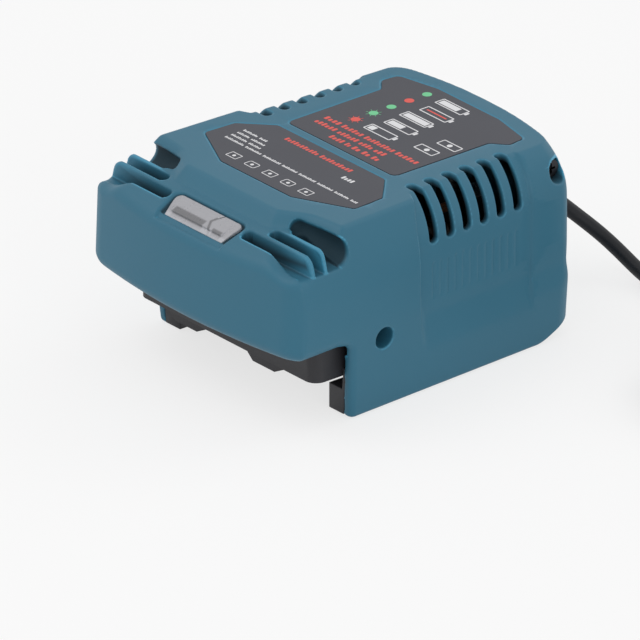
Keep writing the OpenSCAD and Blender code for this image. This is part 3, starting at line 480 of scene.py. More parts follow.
# ---------------------------------------------------------------- fields
# A field is the distance to a form's surface, negative inside. Points come as arrays x, y, z in millimetres.

def meet(a, b, radius):
    """Inside both forms, with an edge of that radius: the distances past both, taken as one length."""
    u = np.maximum(a + radius, 0)
    v = np.maximum(b + radius, 0)
    return np.minimum(np.maximum(a, b), -radius) + np.sqrt(u * u + v * v)


def ease(a, b, width):
    """Inside both of two forms whose faces lie nearly alike: the larger distance, plus a small arc where the
    two are within that width of each other."""
    near = np.maximum(width - np.abs(a - b), 0)
    return np.maximum(a, b) + near * near / (4 * width)


def join(a, b, radius):
    """Inside either form, with an inner corner of that radius."""
    return -meet(-a, -b, radius)


def ramp(x, start, end):
    """0 before start, 1 after end, smooth between."""
    t = np.clip((x - start) / (end - start), 0, 1)
    return t * t * (3 - 2 * t)


def rounded_box(x, y, z, low, high, radius):
    """Box between two corners whose edges have that radius."""
    low, high = np.array(low, float), np.array(high, float)
    middle, half = (low + high) / 2, (high - low) / 2 - radius
    past = [np.abs(v - m) - h for v, m, h in zip((x, y, z), middle, half)]
    away = np.sqrt(sum(np.maximum(p, 0) ** 2 for p in past))
    return away + np.minimum(np.maximum(np.maximum(past[0], past[1]), past[2]), 0) - radius


def rounded(half, grow, radius):
    """An outline from its half where x > 0: mirrored, moved outwards, and with arcs of that radius at its
    corners. A corner's arc has its centre on the line that halves the corner, radius / sin(half the corner)
    away."""
    corners = np.array(half + [(-x, y) for x, y in half[::-1]], float)
    before, after = np.roll(corners, 1, 0) - corners, np.roll(corners, -1, 0) - corners
    before /= np.linalg.norm(before, axis=1, keepdims=True)
    after /= np.linalg.norm(after, axis=1, keepdims=True)
    middle = before + after
    middle /= np.linalg.norm(middle, axis=1, keepdims=True)
    half_angle = np.arccos((before * after).sum(1)) / 2
    out = np.sign(after[:, 0] * before[:, 1] - after[:, 1] * before[:, 0])
    corners = corners - middle * (out * grow / np.sin(half_angle))[:, None]
    centre = corners + middle * (radius / np.sin(half_angle))[:, None]
    start = corners + before * (radius / np.tan(half_angle))[:, None] - centre
    end = corners + after * (radius / np.tan(half_angle))[:, None] - centre
    part = np.linspace(0, 1, 7)[None, :, None]
    arc = (1 - part) * start[:, None] + part * end[:, None]
    arc *= radius / np.linalg.norm(arc, axis=2, keepdims=True)
    return (centre[:, None] + arc).reshape(-1, 2)


def within(x, y, outline):
    """Distance to a closed outline. Each of its sides gives the distance to its nearest point; a place is
    inside where a line from it towards +X crosses an odd number of sides."""
    ax, ay = outline.T
    dx, dy = (np.roll(outline, -1, 0) - outline).T
    x, y = x[..., None], y[..., None]
    along = np.clip(((x - ax) * dx + (y - ay) * dy) / (dx * dx + dy * dy), 0, 1)
    away = np.hypot(x - ax - along * dx, y - ay - along * dy).min(-1)
    spans = (ay > y) != (ay + dy > y)
    crossed = spans & (x < ax + (y - ay) * dx / np.where(dy == 0, 1, dy))
    return np.where(crossed.sum(-1) % 2 == 1, -away, away)


# ---------------------------------------------------------------- the housing's form, on the side where x > 0
# Names end in X, Y or Z for a place, R for a radius, W and L for a width and a length. The window's plans say
# where they start and end along its slope, and how far their sides lie from the middle at these two lines.
# Each pocket of painted shade on the window has its left and right side, its middle along the slope and half
# its width there.

HALF_W = (HOUSING_HIGH[0] - HOUSING_LOW[0]) / 2
FRONT_Y, BACK_Y = HOUSING_LOW[1], HOUSING_HIGH[1]
TOP_Z = HOUSING_HIGH[2]
WALL = 2.5
SKIRT_WALL = 3.3
TAPER = radians(2.6)
SKIRT_DRAFT = radians(5)
BELT_Z = 29
NOSE_BOW_R = 250
NOSE_CORNER_R = 12
CREASE = radians(50)
CORNER_X = HALF_W - NOSE_CORNER_R * sin(CREASE)
CORNER_Y = FRONT_Y + NOSE_BOW_R - sqrt((NOSE_BOW_R - NOSE_CORNER_R) ** 2 - CORNER_X ** 2)
CREASE_Y = CORNER_Y - NOSE_CORNER_R * cos(CREASE)
CORNER_START = asin(CORNER_X / (NOSE_BOW_R - NOSE_CORNER_R))
NOSE_DRAFT = radians(2.4)
NOSE_Z = 25
NOSE_EDGE_R, TOP_EDGE_R = 3.0, 1.0
NOSE_RIM_R, SKIRT_RIM_R, FOOT_R = 4, 2, 1.2
BACK_BOW_R, BACK_CORNER_R = 400, 7.0
SKIRT_Y, SKIRT_LEAN = FRONT_Y + 28.25, 1.5
DECK_Z, DECK_Y, DECK_SLOPE = TOP_Z - 4.2, FRONT_Y + 15.9, radians(9)
DECK_WALL, HOLLOW_SLOPE = 5.2, radians(15)
BLOCK_Y, BLOCK_SIDE_X, BLOCK_LEAN, BLOCK_TURN = FRONT_Y + 19.4, 20.5, radians(40), radians(32.5)
WING_X, WING_Y, WING_TURN = 47.3, FRONT_Y + 27.6, radians(7)
WINDOW_Z, WINDOW_Y, WINDOW_SLOPE = TOP_Z - 6.4, FRONT_Y + 8.3, radians(22.5)
WINDOW_FRONT, WINDOW_CORNER_R = -4.3, 2.6
PANE_PLAN, SEAT_PLAN = (WINDOW_FRONT, 4.2, 13.1, 15.2), (-6.0, 4.55, 14.4, 15.6)
PANE_SINK, PANE_BACK, SEAT_DEPTH = 0.15, 1.35, 1.2
WELL_HALF_X, WELL_HALF_Y, WELL_DEPTH = 12, 2.7, 12
SHADED_POCKETS = ((-11.0, 2.8, -2.15, 1.75), (7.2, 11.4, -2.7, 1.2))
PANEL_Y, PANEL_BACK_Y, PANEL_STEP = FRONT_Y + 54, FRONT_Y + 99.5, 2.0
PANEL_FRONT_X, PANEL_FRONT_RUN, PANEL_FRONT_FALL = 44, 7.3, 3.4
LOUVRE_BACK = ((13.5, FRONT_Y + 2.7, 48.5), (60, FRONT_Y + 28.7, 70))
LEDGE_Z, LEDGE_FALL = 24.5, 5.2
SHOULDER_R, SHOULDER_Z = 21, TOP_Z - 15
VENT_COUNT, VENT_Y, VENT_PITCH, VENT_R = 6, FRONT_Y + 60.8, 6.75, 1.6
VENT_INNER_X, VENT_SIDE_X, VENT_LOW_Z = 31.8, 38, 48.8
RIB_COUNT, RIB_PITCH, RIB_HALF_W, RIB_DEPTH = 12, 3.0, 0.4, 0.35
RIB_LOW_Z, RIB_HIGH_Z = 29.5, 41
LOUVRE_FLOOR_Z = 51.2
LOUVRE_W, FIN = 3.6, 1.3
LOUVRE_Y, LOUVRE_XS = FRONT_Y + 8.4, (17.2, 24.1)
SCOOP_X, SCOOP_HALF_W = 30.5, 2.5
SCOOP_START, SCOOP_LINE = (28.3, 3.35, 58.6), np.array((17.7, 1.8, -3.1))
SCOOP_R, SCOOP_TAPER = 4.0, 1.6
SCREWS = ((FRONT_Y + 39.9, 23.6), (BACK_Y - 8.2, TOP_Z - 7.9))
SCREW_HOLE_R, SCREW_TUBE_R, SCREW_TUBE_L = 3.4, 5.2, 8
CORD_HOLE_R, CORD_SEAT_R = 3.75, 6.25
LABEL_DEPTH = 0.4
BACK_RISE, RISE_START_Y, RISE_END_Y = 4.2, BACK_Y - 16.5, BACK_Y - 3.5
LIP_Z, LIP_FALL, LIP_START_X, LIP_END_X = TOP_Z - 2.6, 7.8, 22, 43


def side_x(y):
    """Distance from the middle to the side at its widest line."""
    return HALF_W - (y - CREASE_Y) * tan(TAPER)


def side_field(x, y, z, inset=0.0, bend_z=40.0, bend_r=50.0):
    """A side: drafted below the belt, upright to bend_z, then an arc of radius bend_r inwards."""
    past = (x - HALF_W + (y - CREASE_Y) * tan(TAPER)) * cos(TAPER) + inset
    below = np.where(BELT_Z - z > 4, BELT_Z - z, np.maximum(BELT_Z + 4 - z, 0) ** 2 / 16)
    flat = past + below * tan(SKIRT_DRAFT)
    curved = np.hypot(np.maximum(past + bend_r, 0), np.maximum(z - bend_z, 0)) - bend_r
    return np.where(z > bend_z, curved, flat)


def front_field(x, y, z, inset=0.0):
    """The bowed front and its round corners, leaning back with height over the belt."""
    y = y - np.maximum(z - BELT_Z, 0) * tan(NOSE_DRAFT)
    bow = np.hypot(x, y - FRONT_Y - NOSE_BOW_R) - NOSE_BOW_R
    corner = np.where(y < CORNER_Y, np.hypot(x - CORNER_X, y - CORNER_Y), x - CORNER_X) - NOSE_CORNER_R
    angle = np.arctan2(x, FRONT_Y + NOSE_BOW_R - y)
    return np.where(angle < CORNER_START, bow, corner) + inset


def back_field(x, y):
    """The shallow bow across the back."""
    return np.hypot(x, y - BACK_Y + BACK_BOW_R) - BACK_BOW_R


def crown_field(x, y, z):
    """The back above the ledge: a deeper bow at the top, which comes out in an arc below."""
    bow_r, curve_r, start_z = 140.0, 50.0, 40.0
    reach = bow_r + curve_r - sqrt(curve_r ** 2 - (TOP_Z - start_z) ** 2)
    out = np.hypot(x, y - (BACK_Y - 2.5 - bow_r)) - reach
    curved = np.hypot(np.maximum(out + curve_r, 0), np.maximum(z - start_z, 0)) - curve_r
    return np.where(z > start_z, curved, out)


def plane(y, z, at_y, at_z, slope):
    """Above a plane that rises towards +Y."""
    return (z - at_z - (y - at_y) * tan(slope)) * cos(slope)


def leaning_face(x, y, z, at_x, at_y, turn):
    """A face through (at_x, at_y) on the top plane, turned from above and leaning back."""
    out = (x - at_x) * sin(turn) - (y - at_y) * cos(turn)
    return out * cos(BLOCK_LEAN) + (z - TOP_Z) * sin(BLOCK_LEAN)


def rear_core(x, y, z):
    """What is left of the rear part above the ledge."""
    step = np.where(y < PANEL_BACK_Y, PANEL_STEP, PANEL_STEP - 0.7)
    side = side_field(x, y, z, 0.0, SHOULDER_Z, SHOULDER_R) + step
    return meet(side, ease(back_field(x, y) + PANEL_STEP, crown_field(x, y, z), 1.0), 3.5)


def crust(x, y, z):
    """The moulded outside, running on below, without its openings."""
    sides = meet(meet(side_field(x, y, z), back_field(x, y), BACK_CORNER_R), front_field(x, y, z), 0.5)
    deck = ease(plane(y, z, DECK_Y, DECK_Z, DECK_SLOPE), plane(y, z, WINDOW_Y, WINDOW_Z, WINDOW_SLOPE), 0.6)
    block = meet(leaning_face(x, y, z, 0, BLOCK_Y, 0),
                 leaning_face(x, y, z, BLOCK_SIDE_X, BLOCK_Y, BLOCK_TURN), 0.3)
    block = join(block, leaning_face(x, y, z, WING_X, WING_Y, WING_TURN), 0.5)
    top = meet(join(deck, block, 0.6), z - TOP_Z, 0.7)
    lip = z - LIP_Z + LIP_FALL * ramp(x, LIP_START_X, LIP_END_X)
    top = ease(top, join(lip, LOUVRE_Y + 2 - y, 0.5), 1.2)
    edge_r = NOSE_EDGE_R + (TOP_EDGE_R - NOSE_EDGE_R) * ramp(y, -50, -34)
    form = meet(sides, top, edge_r)
    core = rear_core(x, y, z)
    ledge = (z - LEDGE_Z + LEDGE_FALL * np.clip(core, 0, 3)) / hypot(1, LEDGE_FALL)
    before = y - PANEL_Y - np.clip((PANEL_FRONT_X - x) / PANEL_FRONT_RUN, 0, 1) * PANEL_FRONT_FALL
    return meet(form, join(core, join(ledge, before, 4.0), 0.3), 0.3)


def outside(x, y, z):
    """The crust cut off at the nose's underside and along the skirts' foot."""
    form = crust(x, y, z)
    under = join(NOSE_Z - z, SKIRT_Y - SKIRT_LEAN * z / NOSE_Z - y, 2.0)
    rim_r = NOSE_RIM_R + (SKIRT_RIM_R - NOSE_RIM_R) * ramp(y, -38, -33)
    foot = BACK_RISE * ramp(y, RISE_START_Y, RISE_END_Y) - z
    return meet(meet(form, under, rim_r), foot, FOOT_R)


def inside(x, y, z):
    """The hollow: between the skirts, and a wall's thickness in from the outside above them."""
    side, back = side_field(x, y, z, WALL), back_field(x, y) + WALL
    sides = meet(meet(side, back, 4.0), front_field(x, y, z, WALL), 1.0)
    low = np.maximum(np.maximum(side, back) + SKIRT_WALL - WALL, z - LEDGE_Z + WALL)
    deck = plane(y, z, DECK_Y, DECK_Z - DECK_WALL, HOLLOW_SLOPE)
    top = np.where(y > SKIRT_Y - SKIRT_LEAN, z - TOP_Z + WALL, np.maximum(deck, z - TOP_Z + WALL))
    core = np.maximum(side_field(x, y, z, WALL, SHOULDER_Z, SHOULDER_R), back) + PANEL_STEP
    core = np.maximum(core, crown_field(x, y, z) + WALL)
    keep = np.minimum(core, np.minimum(z - LEDGE_Z + WALL, y - PANEL_Y + WALL))
    high = np.maximum(np.maximum(sides, top), np.maximum(keep, LEDGE_Z - WALL - 1 - z))
    return np.maximum(np.minimum(high, low), -rounded_box(x, y, z, *LOUVRE_BACK, 1.0))


def vent(x, y, z, at_y):
    """A slot across the top with a round inner end, which runs on down the side to a round lower end."""
    across = np.hypot(np.minimum(x - VENT_INNER_X - VENT_R, 0), y - at_y) - VENT_R
    down = np.where(z > VENT_LOW_Z, np.abs(y - at_y), np.hypot(y - at_y, z - VENT_LOW_Z)) - VENT_R
    return np.minimum(np.maximum(across, VENT_LOW_Z - z), np.maximum(down, VENT_SIDE_X - x))


def louvre(x, y, z, at_x, at_y):
    """A narrow groove with a round inner end that runs out through the side."""
    radius = LOUVRE_W / 2
    across = np.hypot(np.minimum(x - at_x - radius, 0), y - at_y - radius) - radius
    return np.maximum(across, LOUVRE_FLOOR_Z - z)


def scoop(x, y, z, at_y):
    """The wide louvre: a groove, and over its far side a bore round a line that leans outwards. The bore's
    radius is 2.4 at the inner end of the line and 4 at its outer end."""
    start_x, start_y, start_z = SCOOP_START
    off = (x - start_x, y - (at_y + start_y), z - start_z)
    part = np.clip(sum(o * d for o, d in zip(off, SCOOP_LINE)) / (SCOOP_LINE @ SCOOP_LINE), 0, 1.8)
    away = np.sqrt(sum((o - part * d) ** 2 for o, d in zip(off, SCOOP_LINE)))
    bore = away - SCOOP_R + SCOOP_TAPER * np.maximum(1 - part, 0) ** 2
    groove = np.hypot(np.minimum(x - SCOOP_X, 0), y - at_y - SCOOP_HALF_W) - SCOOP_HALF_W
    return np.maximum(np.minimum(bore, groove), LOUVRE_FLOOR_Z - z)


def on_window(y, z):
    """Distances along the window's slope and out of it."""
    along, up = y - WINDOW_Y, z - WINDOW_Z
    c, s = cos(WINDOW_SLOPE), sin(WINDOW_SLOPE)
    return along * c + up * s, up * c - along * s


def window_plan(x, along, low, high, bottom, top):
    """Between the lines low and high across the slope, and between sides that lie as far from the middle as
    bottom and top at those lines, with round top corners."""
    lean = atan2(top - bottom, high - low)
    side = (np.abs(x) - bottom - (along - low) * tan(lean)) * cos(lean)
    return np.maximum(meet(side, along - high, WINDOW_CORNER_R), low - along)


def window_seat(x, y, z):
    """The window's recess: its floor follows the outside, its walls slope, and a shelf lies in front of the
    window; and the light well under the window."""
    along, out = on_window(y, z)
    depth = crust(np.abs(x), y, z)
    open_by = np.clip(depth + SEAT_DEPTH, 0, 1.5)
    plan = window_plan(x, along, *SEAT_PLAN) - 0.75 * open_by
    corner = np.array((WELL_HALF_X, WELL_HALF_Y, WELL_DEPTH))
    well = rounded_box(x, along, out, -corner, corner, 0.5)
    return np.minimum(np.maximum(plan, -depth - SEAT_DEPTH), well)


FRONT_LABEL = [(16.2, FRONT_Y + 29), (34.6, FRONT_Y + 38), (34, FRONT_Y + 49), (24.6, FRONT_Y + 57.8)]
EAR_Y = BACK_Y - 11.8
REAR_LABEL = [(24.6, FRONT_Y + 61.4), (24.6, EAR_Y - 10), (29.4, EAR_Y - 6), (28.8, EAR_Y), (14, EAR_Y + 3)]
LABEL_GAP = 0.25


def label_seat(x, y, z, half, corner_r):
    """The shallow recess for a label, a little larger all round than the label."""
    return np.maximum(within(x, y, rounded(half, LABEL_GAP, corner_r)), TOP_Z - LABEL_DEPTH - z)


def opening_shade(x, y, z):
    """How deep a place lies in the openings of the housing's upper part, from 0 to 1, which the finish turns
    into painted shade. The gap round the window counts as deep, and the shelf in front of it as outside."""
    depth = -outside(np.abs(x), y, z) * ramp(z, 42, 46)
    by_window = (np.abs(x) < 17) & (y < WINDOW_Y + 6)
    past_shelf = on_window(y, z)[0] > WINDOW_FRONT
    deep = np.where(by_window, (depth - 0.3) * past_shelf, (depth - 0.25) / 1.9)
    return np.where((y > 0) | (z > 48), deep, 0)


def cord_hole(x, y, z):
    """The hole for the strain relief's neck, and wider seats for its flanges before and behind the wall."""
    radius = np.hypot(x, z - CORD_EXIT_Z)
    seats = np.minimum(BACK_Y - 2.15 - y, y - BACK_Y + 4.35)
    return np.minimum(radius - CORD_HOLE_R, np.maximum(radius - CORD_SEAT_R, seats))


# ---------------------------------------------------------------- from a field to a mesh

class Grid:
    """Points of a box in rows, and the field on them."""

    def __init__(self, low, high, step):
        self.low, self.step = np.array(low, float), step
        counts = np.ceil((np.array(high) - self.low) / step).astype(int) + 1
        self.axes = [self.low[a] + step * np.arange(counts[a]) for a in range(3)]
        self.field = None

    def window(self, low, high):
        """Slices of the points between two corners, and the points themselves."""
        parts = []
        for a in range(3):
            start = max(0, int((low[a] - self.low[a]) / self.step))
            end = min(len(self.axes[a]), int(ceil((high[a] - self.low[a]) / self.step)) + 1)
            parts.append(slice(start, end))
        inner = [axis[part] for axis, part in zip(self.axes, parts)]
        return tuple(parts), np.meshgrid(*inner, indexing="ij", sparse=True)

    def fill(self, form):
        self.field = form(*np.meshgrid(*self.axes, indexing="ij"))

    def cut(self, form, low, high, radius):
        """Takes a form away between two corners, with round edges."""
        part, points = self.window(low, high)
        self.field[part] = meet(self.field[part], -form(*points), radius)

    def add(self, form, low, high, radius):
        part, points = self.window(low, high)
        self.field[part] = join(self.field[part], form(*points), radius)

    def mirror(self):
        """Adds the other half, where x is negative. The first row is the middle."""
        self.field = np.concatenate([self.field[:0:-1], self.field])
        self.low[0] = -self.step * (self.field.shape[0] - 1) / 2

    def at(self, points):
        """The field at any points, worked out between the rows in all three directions."""
        place = (points - self.low) / self.step
        cell = np.clip(np.floor(place).astype(int), 0, np.array(self.field.shape) - 2)
        part = np.clip(place - cell, 0, 1)
        value = 0
        for corner in np.ndindex(2, 2, 2):
            weight = np.prod(np.where(corner, part, 1 - part), axis=1)
            value = value + weight * self.field[tuple((cell + corner).T)]
        return value

    def slope(self, points, reach):
        """Unit vectors in which the field grows fastest."""
        steps = np.eye(3) * reach
        growth = np.stack([self.at(points + s) - self.at(points - s) for s in steps], -1)
        return growth / np.maximum(np.linalg.norm(growth, axis=1, keepdims=True), 1e-9)

    def surface(self):
        """Points and quads of the surface where the field is zero. Each cell that the surface passes gets one
        point, the mean of the places where it crosses the cell's edges, and each crossed edge joins four."""
        inside = self.field < 0
        sizes = [n - 1 for n in self.field.shape]

        def corner(values, c):
            return values[tuple(slice(k, k + n) for k, n in zip(c, sizes))]

        corners = list(np.ndindex(2, 2, 2))
        filled = sum(corner(inside, c).astype(np.uint8) for c in corners)
        passed = (filled > 0) & (filled < 8)
        cells = np.argwhere(passed)
        number = np.full(passed.shape, -1, np.int32)
        number[passed] = np.arange(len(cells))
        value = {c: corner(self.field, c)[passed] for c in corners}
        total, hits = np.zeros((len(cells), 3)), np.zeros(len(cells))
        for c in corners:
            for axis in range(3):
                if c[axis]:
                    continue
                a, b = value[c], value[tuple(1 if k == axis else c[k] for k in range(3))]
                crossed = (a < 0) != (b < 0)
                place = np.tile(np.array(c, float), (len(cells), 1))
                place[:, axis] = np.where(crossed, a / np.where(crossed, a - b, 1), 0)
                total += place * crossed[:, None]
                hits += crossed
        points = (cells + total / hits[:, None]) * self.step + self.low
        quads = []
        for axis in range(3):
            first, second = [k for k in range(3) if k != axis]
            here = [slice(1, n - 1) for n in self.field.shape]
            there = list(here)
            here[axis], there[axis] = slice(0, self.field.shape[axis] - 1), slice(1, self.field.shape[axis])
            crossing = np.argwhere(inside[tuple(here)] != inside[tuple(there)])
            outwards = inside[tuple(here)][tuple(crossing.T)] != (axis == 1)
            cell = crossing + 1
            cell[:, axis] -= 1
            four = []
            for back_1, back_2 in ((1, 1), (0, 1), (0, 0), (1, 0)):
                near = cell.copy()
                near[:, first] -= back_1
                near[:, second] -= back_2
                four.append(number[tuple(near.T)])
            face = np.stack(four, 1)
            face[~outwards] = face[~outwards][:, ::-1]
            quads.append(face)
        return points, np.concatenate(quads)


def note(mesh, label, values):
    """Keeps one number a point, from 0 to 1, for the finish to read."""
    layer = mesh.attributes.new(label, "FLOAT", "POINT")
    layer.data.foreach_set("value", np.clip(values, 0, 1).astype(np.float32))


def field_piece(name, grid, triangles, finish, reach, masks):
    """A piece from a grid's field: its surface thinned to the given triangles, shaded by the field's slope,
    with how sharp each place is as two attributes, which finishes read for a painted highlight on outer edges
    and painted shade in inner corners. masks adds more, as functions of x, y and z."""
    points, quads = grid.surface()
    rough = bpy.data.objects.new(name, quad_mesh(name, points, quads))
    bpy.context.scene.collection.objects.link(rough)
    if 2 * len(quads) > triangles:
        thin = rough.modifiers.new("Thin", "DECIMATE")
        thin.ratio = triangles / (2 * len(quads))
    mesh = bpy.data.meshes.new_from_object(rough.evaluated_get(bpy.context.evaluated_depsgraph_get()))
    bpy.data.objects.remove(rough)
    mesh.name = name
    places = np.zeros(len(mesh.vertices) * 3)
    mesh.vertices.foreach_get("co", places)
    places = places.reshape(-1, 3) / MM
    slope = grid.slope(places, grid.step)
    mesh.normals_split_custom_set_from_vertices(slope.tolist())
    # Painted light: a painted highlight on sharp outer edges, and painted shade in inner corners.
    for label, sign in (("edge", -1), ("recess", 1)):
        note(mesh, label, 1 - grid.at(places + sign * reach * slope) * sign / reach)
    for label, mask in masks.items():
        note(mesh, label, mask(*places.T))
    return new_object(name, mesh, [finish])


def housing_grid(step, radius):
    """The whole housing, worked out on one half and mirrored. Each cut works between two corners: past_x and
    over_z lie outside the housing's side and top, and under_label_z inside its top wall."""
    past_x, over_z, under_label_z, margin, least_wall = 50, 64, 60, 1.5, 1.8
    grid = Grid((0, FRONT_Y - margin, -margin), (HALF_W + margin, BACK_Y + margin, TOP_Z + margin), step)
    grid.fill(lambda x, y, z: np.maximum(
        outside(x, y, z), -np.maximum(inside(x, y, z), crust(x, y, z) + least_wall)))
    for k in range(VENT_COUNT):
        at_y = VENT_Y + k * VENT_PITCH
        grid.cut(lambda x, y, z: vent(x, y, z, at_y), (29, at_y - 4, 44), (past_x, at_y + 4, over_z), radius)
    for k in range(RIB_COUNT):
        at_y = VENT_Y + k * RIB_PITCH
        face = side_x(at_y) - PANEL_STEP
        low = (face - RIB_DEPTH, at_y - RIB_HALF_W, RIB_LOW_Z)
        high = (60, at_y + RIB_HALF_W, RIB_HIGH_Z)
        grid.cut(lambda x, y, z: rounded_box(x, y, z, low, high, 0.3),
                 (face - 2, at_y - 1.5, RIB_LOW_Z - 1.5), (face + 3, at_y + 1.5, RIB_HIGH_Z + 1.5), 0.25)
    at_y = LOUVRE_Y
    for at_x in LOUVRE_XS:
        grid.cut(lambda x, y, z: louvre(x, y, z, at_x, at_y), (int(at_x) - 2, at_y - 2, 49),
                 (past_x, at_y + 6, over_z), radius)
        at_y = at_y + LOUVRE_W + FIN
    grid.cut(lambda x, y, z: scoop(x, y, z, at_y), (23, at_y - 2, 49), (past_x, at_y + 11, over_z), radius)
    for at_y, at_z in SCREWS:
        seat_x = side_x(at_y) - SCREW_TUBE_L - WALL

        def tube(x, y, z):
            rod = np.hypot(y - at_y, z - at_z) - SCREW_TUBE_R
            ends = np.maximum(seat_x - x, x - seat_x - SCREW_TUBE_L)
            return np.maximum(np.maximum(rod, ends), outside(x, y, z) + 1.2)

        def hole(x, y, z):
            return np.maximum(np.hypot(y - at_y, z - at_z) - SCREW_HOLE_R, seat_x + 2 - x)

        low, high = (seat_x - 2, at_y - 7, at_z - 7), (past_x, at_y + 7, at_z + 7)
        grid.add(tube, low, high, 0.1)
        grid.cut(hole, low, high, 0.4)
    grid.cut(window_seat, (0, WINDOW_Y - 8, 42), (18, WINDOW_Y + 8, over_z), 0.3)
    for half, corner_r, start_y, end_x, end_y in (
            (FRONT_LABEL, 1.6, FRONT_Y + 27, 37, FRONT_Y + 60),
            (REAR_LABEL, 2.0, FRONT_Y + 60, 31, BACK_Y - 6)):
        grid.cut(lambda x, y, z: label_seat(x, y, z, half, corner_r),
                 (0, start_y, under_label_z), (end_x, end_y, over_z), 0.15)
    grid.cut(cord_hole, (0, BACK_Y - 8, CORD_EXIT_Z - 8), (8, BACK_Y + 1.5, CORD_EXIT_Z + 8), 0.15)
    grid.mirror()
    return grid


# ---------------------------------------------------------------- the cord's route, in metres

CORD_ROUTE = [
    (0.0, 0.0600, 0.0310), (0.0, 0.0640, 0.0310), (0.0, 0.0693, 0.0309),
    (0.0002, 0.0730, 0.0298), (0.0005, 0.0760, 0.0282), (0.0014, 0.0800, 0.0252),
    (0.0030, 0.0840, 0.0214), (0.0060, 0.0882, 0.0168), (0.0100, 0.0915, 0.0130),
    (0.0150, 0.0938, 0.0094), (0.0210, 0.0948, 0.0062), (0.0280, 0.0948, 0.0037),
    (0.0360, 0.0944, 0.0026), (0.0480, 0.0942, 0.0023), (0.0600, 0.0940, 0.0023),
    (0.0720, 0.0938, 0.0023), (0.0840, 0.0935, 0.0023), (0.0940, 0.0933, 0.0023),
]
COIL_X, COIL_Y, COIL_R = 0.108, 0.066, 0.0273
COIL_END = 5 * 360 + 265
CHANGE = 70
LEAD_BEND_R = 0.018
LEAD_Z, PLUG_AXIS_Z = 0.01125, 0.01585


def coil_points(diameter):
    """Nearly six turns, clockwise from above: three side by side on the floor from the outside in, the others
    on them from the inside out, then the last turn's end on top. Each change of place takes 70 degrees of
    turning, as a smooth step in radius or height, and is over before the turn meets the last one's change."""
    turns = np.arange(0, COIL_END + 1, 15.0)

    def change(start):
        return ramp(turns, start, start + CHANGE)

    inwards = change(290) + change(650)
    outwards = change(1300) + change(1660)
    radius = COIL_R + diameter * (outwards - inwards)
    height = diameter * (0.51 + change(985) + change(1995))
    angle = np.radians(90 - turns)
    return np.stack([COIL_X + radius * np.cos(angle), COIL_Y + radius * np.sin(angle), height], -1)


def lead_points():
    """The lead's last bend, a quarter of a circle on top of the coil that rises to the plug's axis."""
    angle = np.radians(np.arange(170, 89, -16))
    centre_x = COIL_X - COIL_R + LEAD_BEND_R
    height = LEAD_Z + (PLUG_AXIS_Z - LEAD_Z) * ramp(-angle, -pi, -pi / 2)
    bend = np.stack([
        centre_x + LEAD_BEND_R * np.cos(angle), COIL_Y + LEAD_BEND_R * np.sin(angle), height], -1)
    straight = [(centre_x + x, COIL_Y + LEAD_BEND_R, PLUG_AXIS_Z) for x in (0.003, 0.006, 0.009)]
    return np.concatenate([bend, straight])


def smooth_path(points, steps=8):
    """Points of a cubic B-spline with those control points, ends included."""
    points = np.asarray(points, float)
    points = np.concatenate([2 * points[:1] - points[1:2], points, 2 * points[-1:] - points[-2:-1]])
    t = np.arange(steps)[:, None, None] / steps
    a, b, c, d = points[:-3], points[1:-2], points[2:-1], points[3:]
    path = ((1 - t) ** 3 * a + (3 * t ** 3 - 6 * t ** 2 + 4) * b
            + (-3 * t ** 3 + 3 * t ** 2 + 3 * t + 1) * c + t ** 3 * d) / 6
    path = path.transpose(1, 0, 2).reshape(-1, 3)
    return np.concatenate([path, (points[-3:-2] + 4 * points[-2:-1] + points[-1:]) / 6])


def along_path(path, profile, sides=32):
    """Rings square to a path: profile is rows of (distance along in millimetres, radius in millimetres)."""
    path = np.asarray(path) / MM
    lengths = np.concatenate([[0], np.cumsum(np.linalg.norm(np.diff(path, axis=0), axis=1))])
    profile = np.asarray(profile, float)

    def at(distance):
        return np.stack([np.interp(distance, lengths, path[:, k]) for k in range(3)], -1)

    centre = at(profile[:, 0])
    ahead = at(profile[:, 0] + 0.6) - at(np.maximum(profile[:, 0] - 0.6, 0))
    ahead /= np.linalg.norm(ahead, axis=1, keepdims=True)
    side = np.cross(ahead, (1, 0, 0))
    side /= np.linalg.norm(side, axis=1, keepdims=True)
    up = np.cross(ahead, side)
    angle = around(sides)[None, :, None]
    return (centre[:, None] + profile[:, 1, None, None]
            * (np.cos(angle) * side[:, None] + np.sin(angle) * up[:, None]))


def relief_profile(length, cord_r):
    """Radius along the strain relief: inner flange, neck, outer flange, then a tail that tapers to the cord
    and has a groove every 2.6 mm, deepest on its thick part."""
    neck_r, neck_start, neck_end, tail_start = 3.75, 1.5, 3.7, 5.2
    flange_r, flange_edge_r = 5.75, 5.4
    tail = np.arange(0, length, 0.2)
    part = tail / tail[-1]
    thick = cord_r + 2.0 - 1.25 * part
    groove = 0.75 * ramp(np.cos(2 * pi * (tail - 1.6) / 2.6), 0.35, 0.75) * ramp(part, 0.02, 0.08)
    groove = groove * (1 - ramp(part, 0.86, 0.92)) * (1 - 0.4 * part)
    end = ramp(tail, length - 0.8, length)
    rows = [(0, flange_edge_r), (0.3, flange_r), (1.2, flange_r), (neck_start, flange_edge_r),
            (neck_start, neck_r), (neck_end, neck_r), (neck_end, 5.3), (3.95, 5.7), (4.9, flange_r),
            (tail_start, flange_edge_r)]
    rows += list(zip(tail_start + 0.05 + tail, thick - groove - 0.5 * end))
    rows += [(tail_start + length + 0.1, cord_r - 0.05)]
    return rows


# ---------------------------------------------------------------- the plug

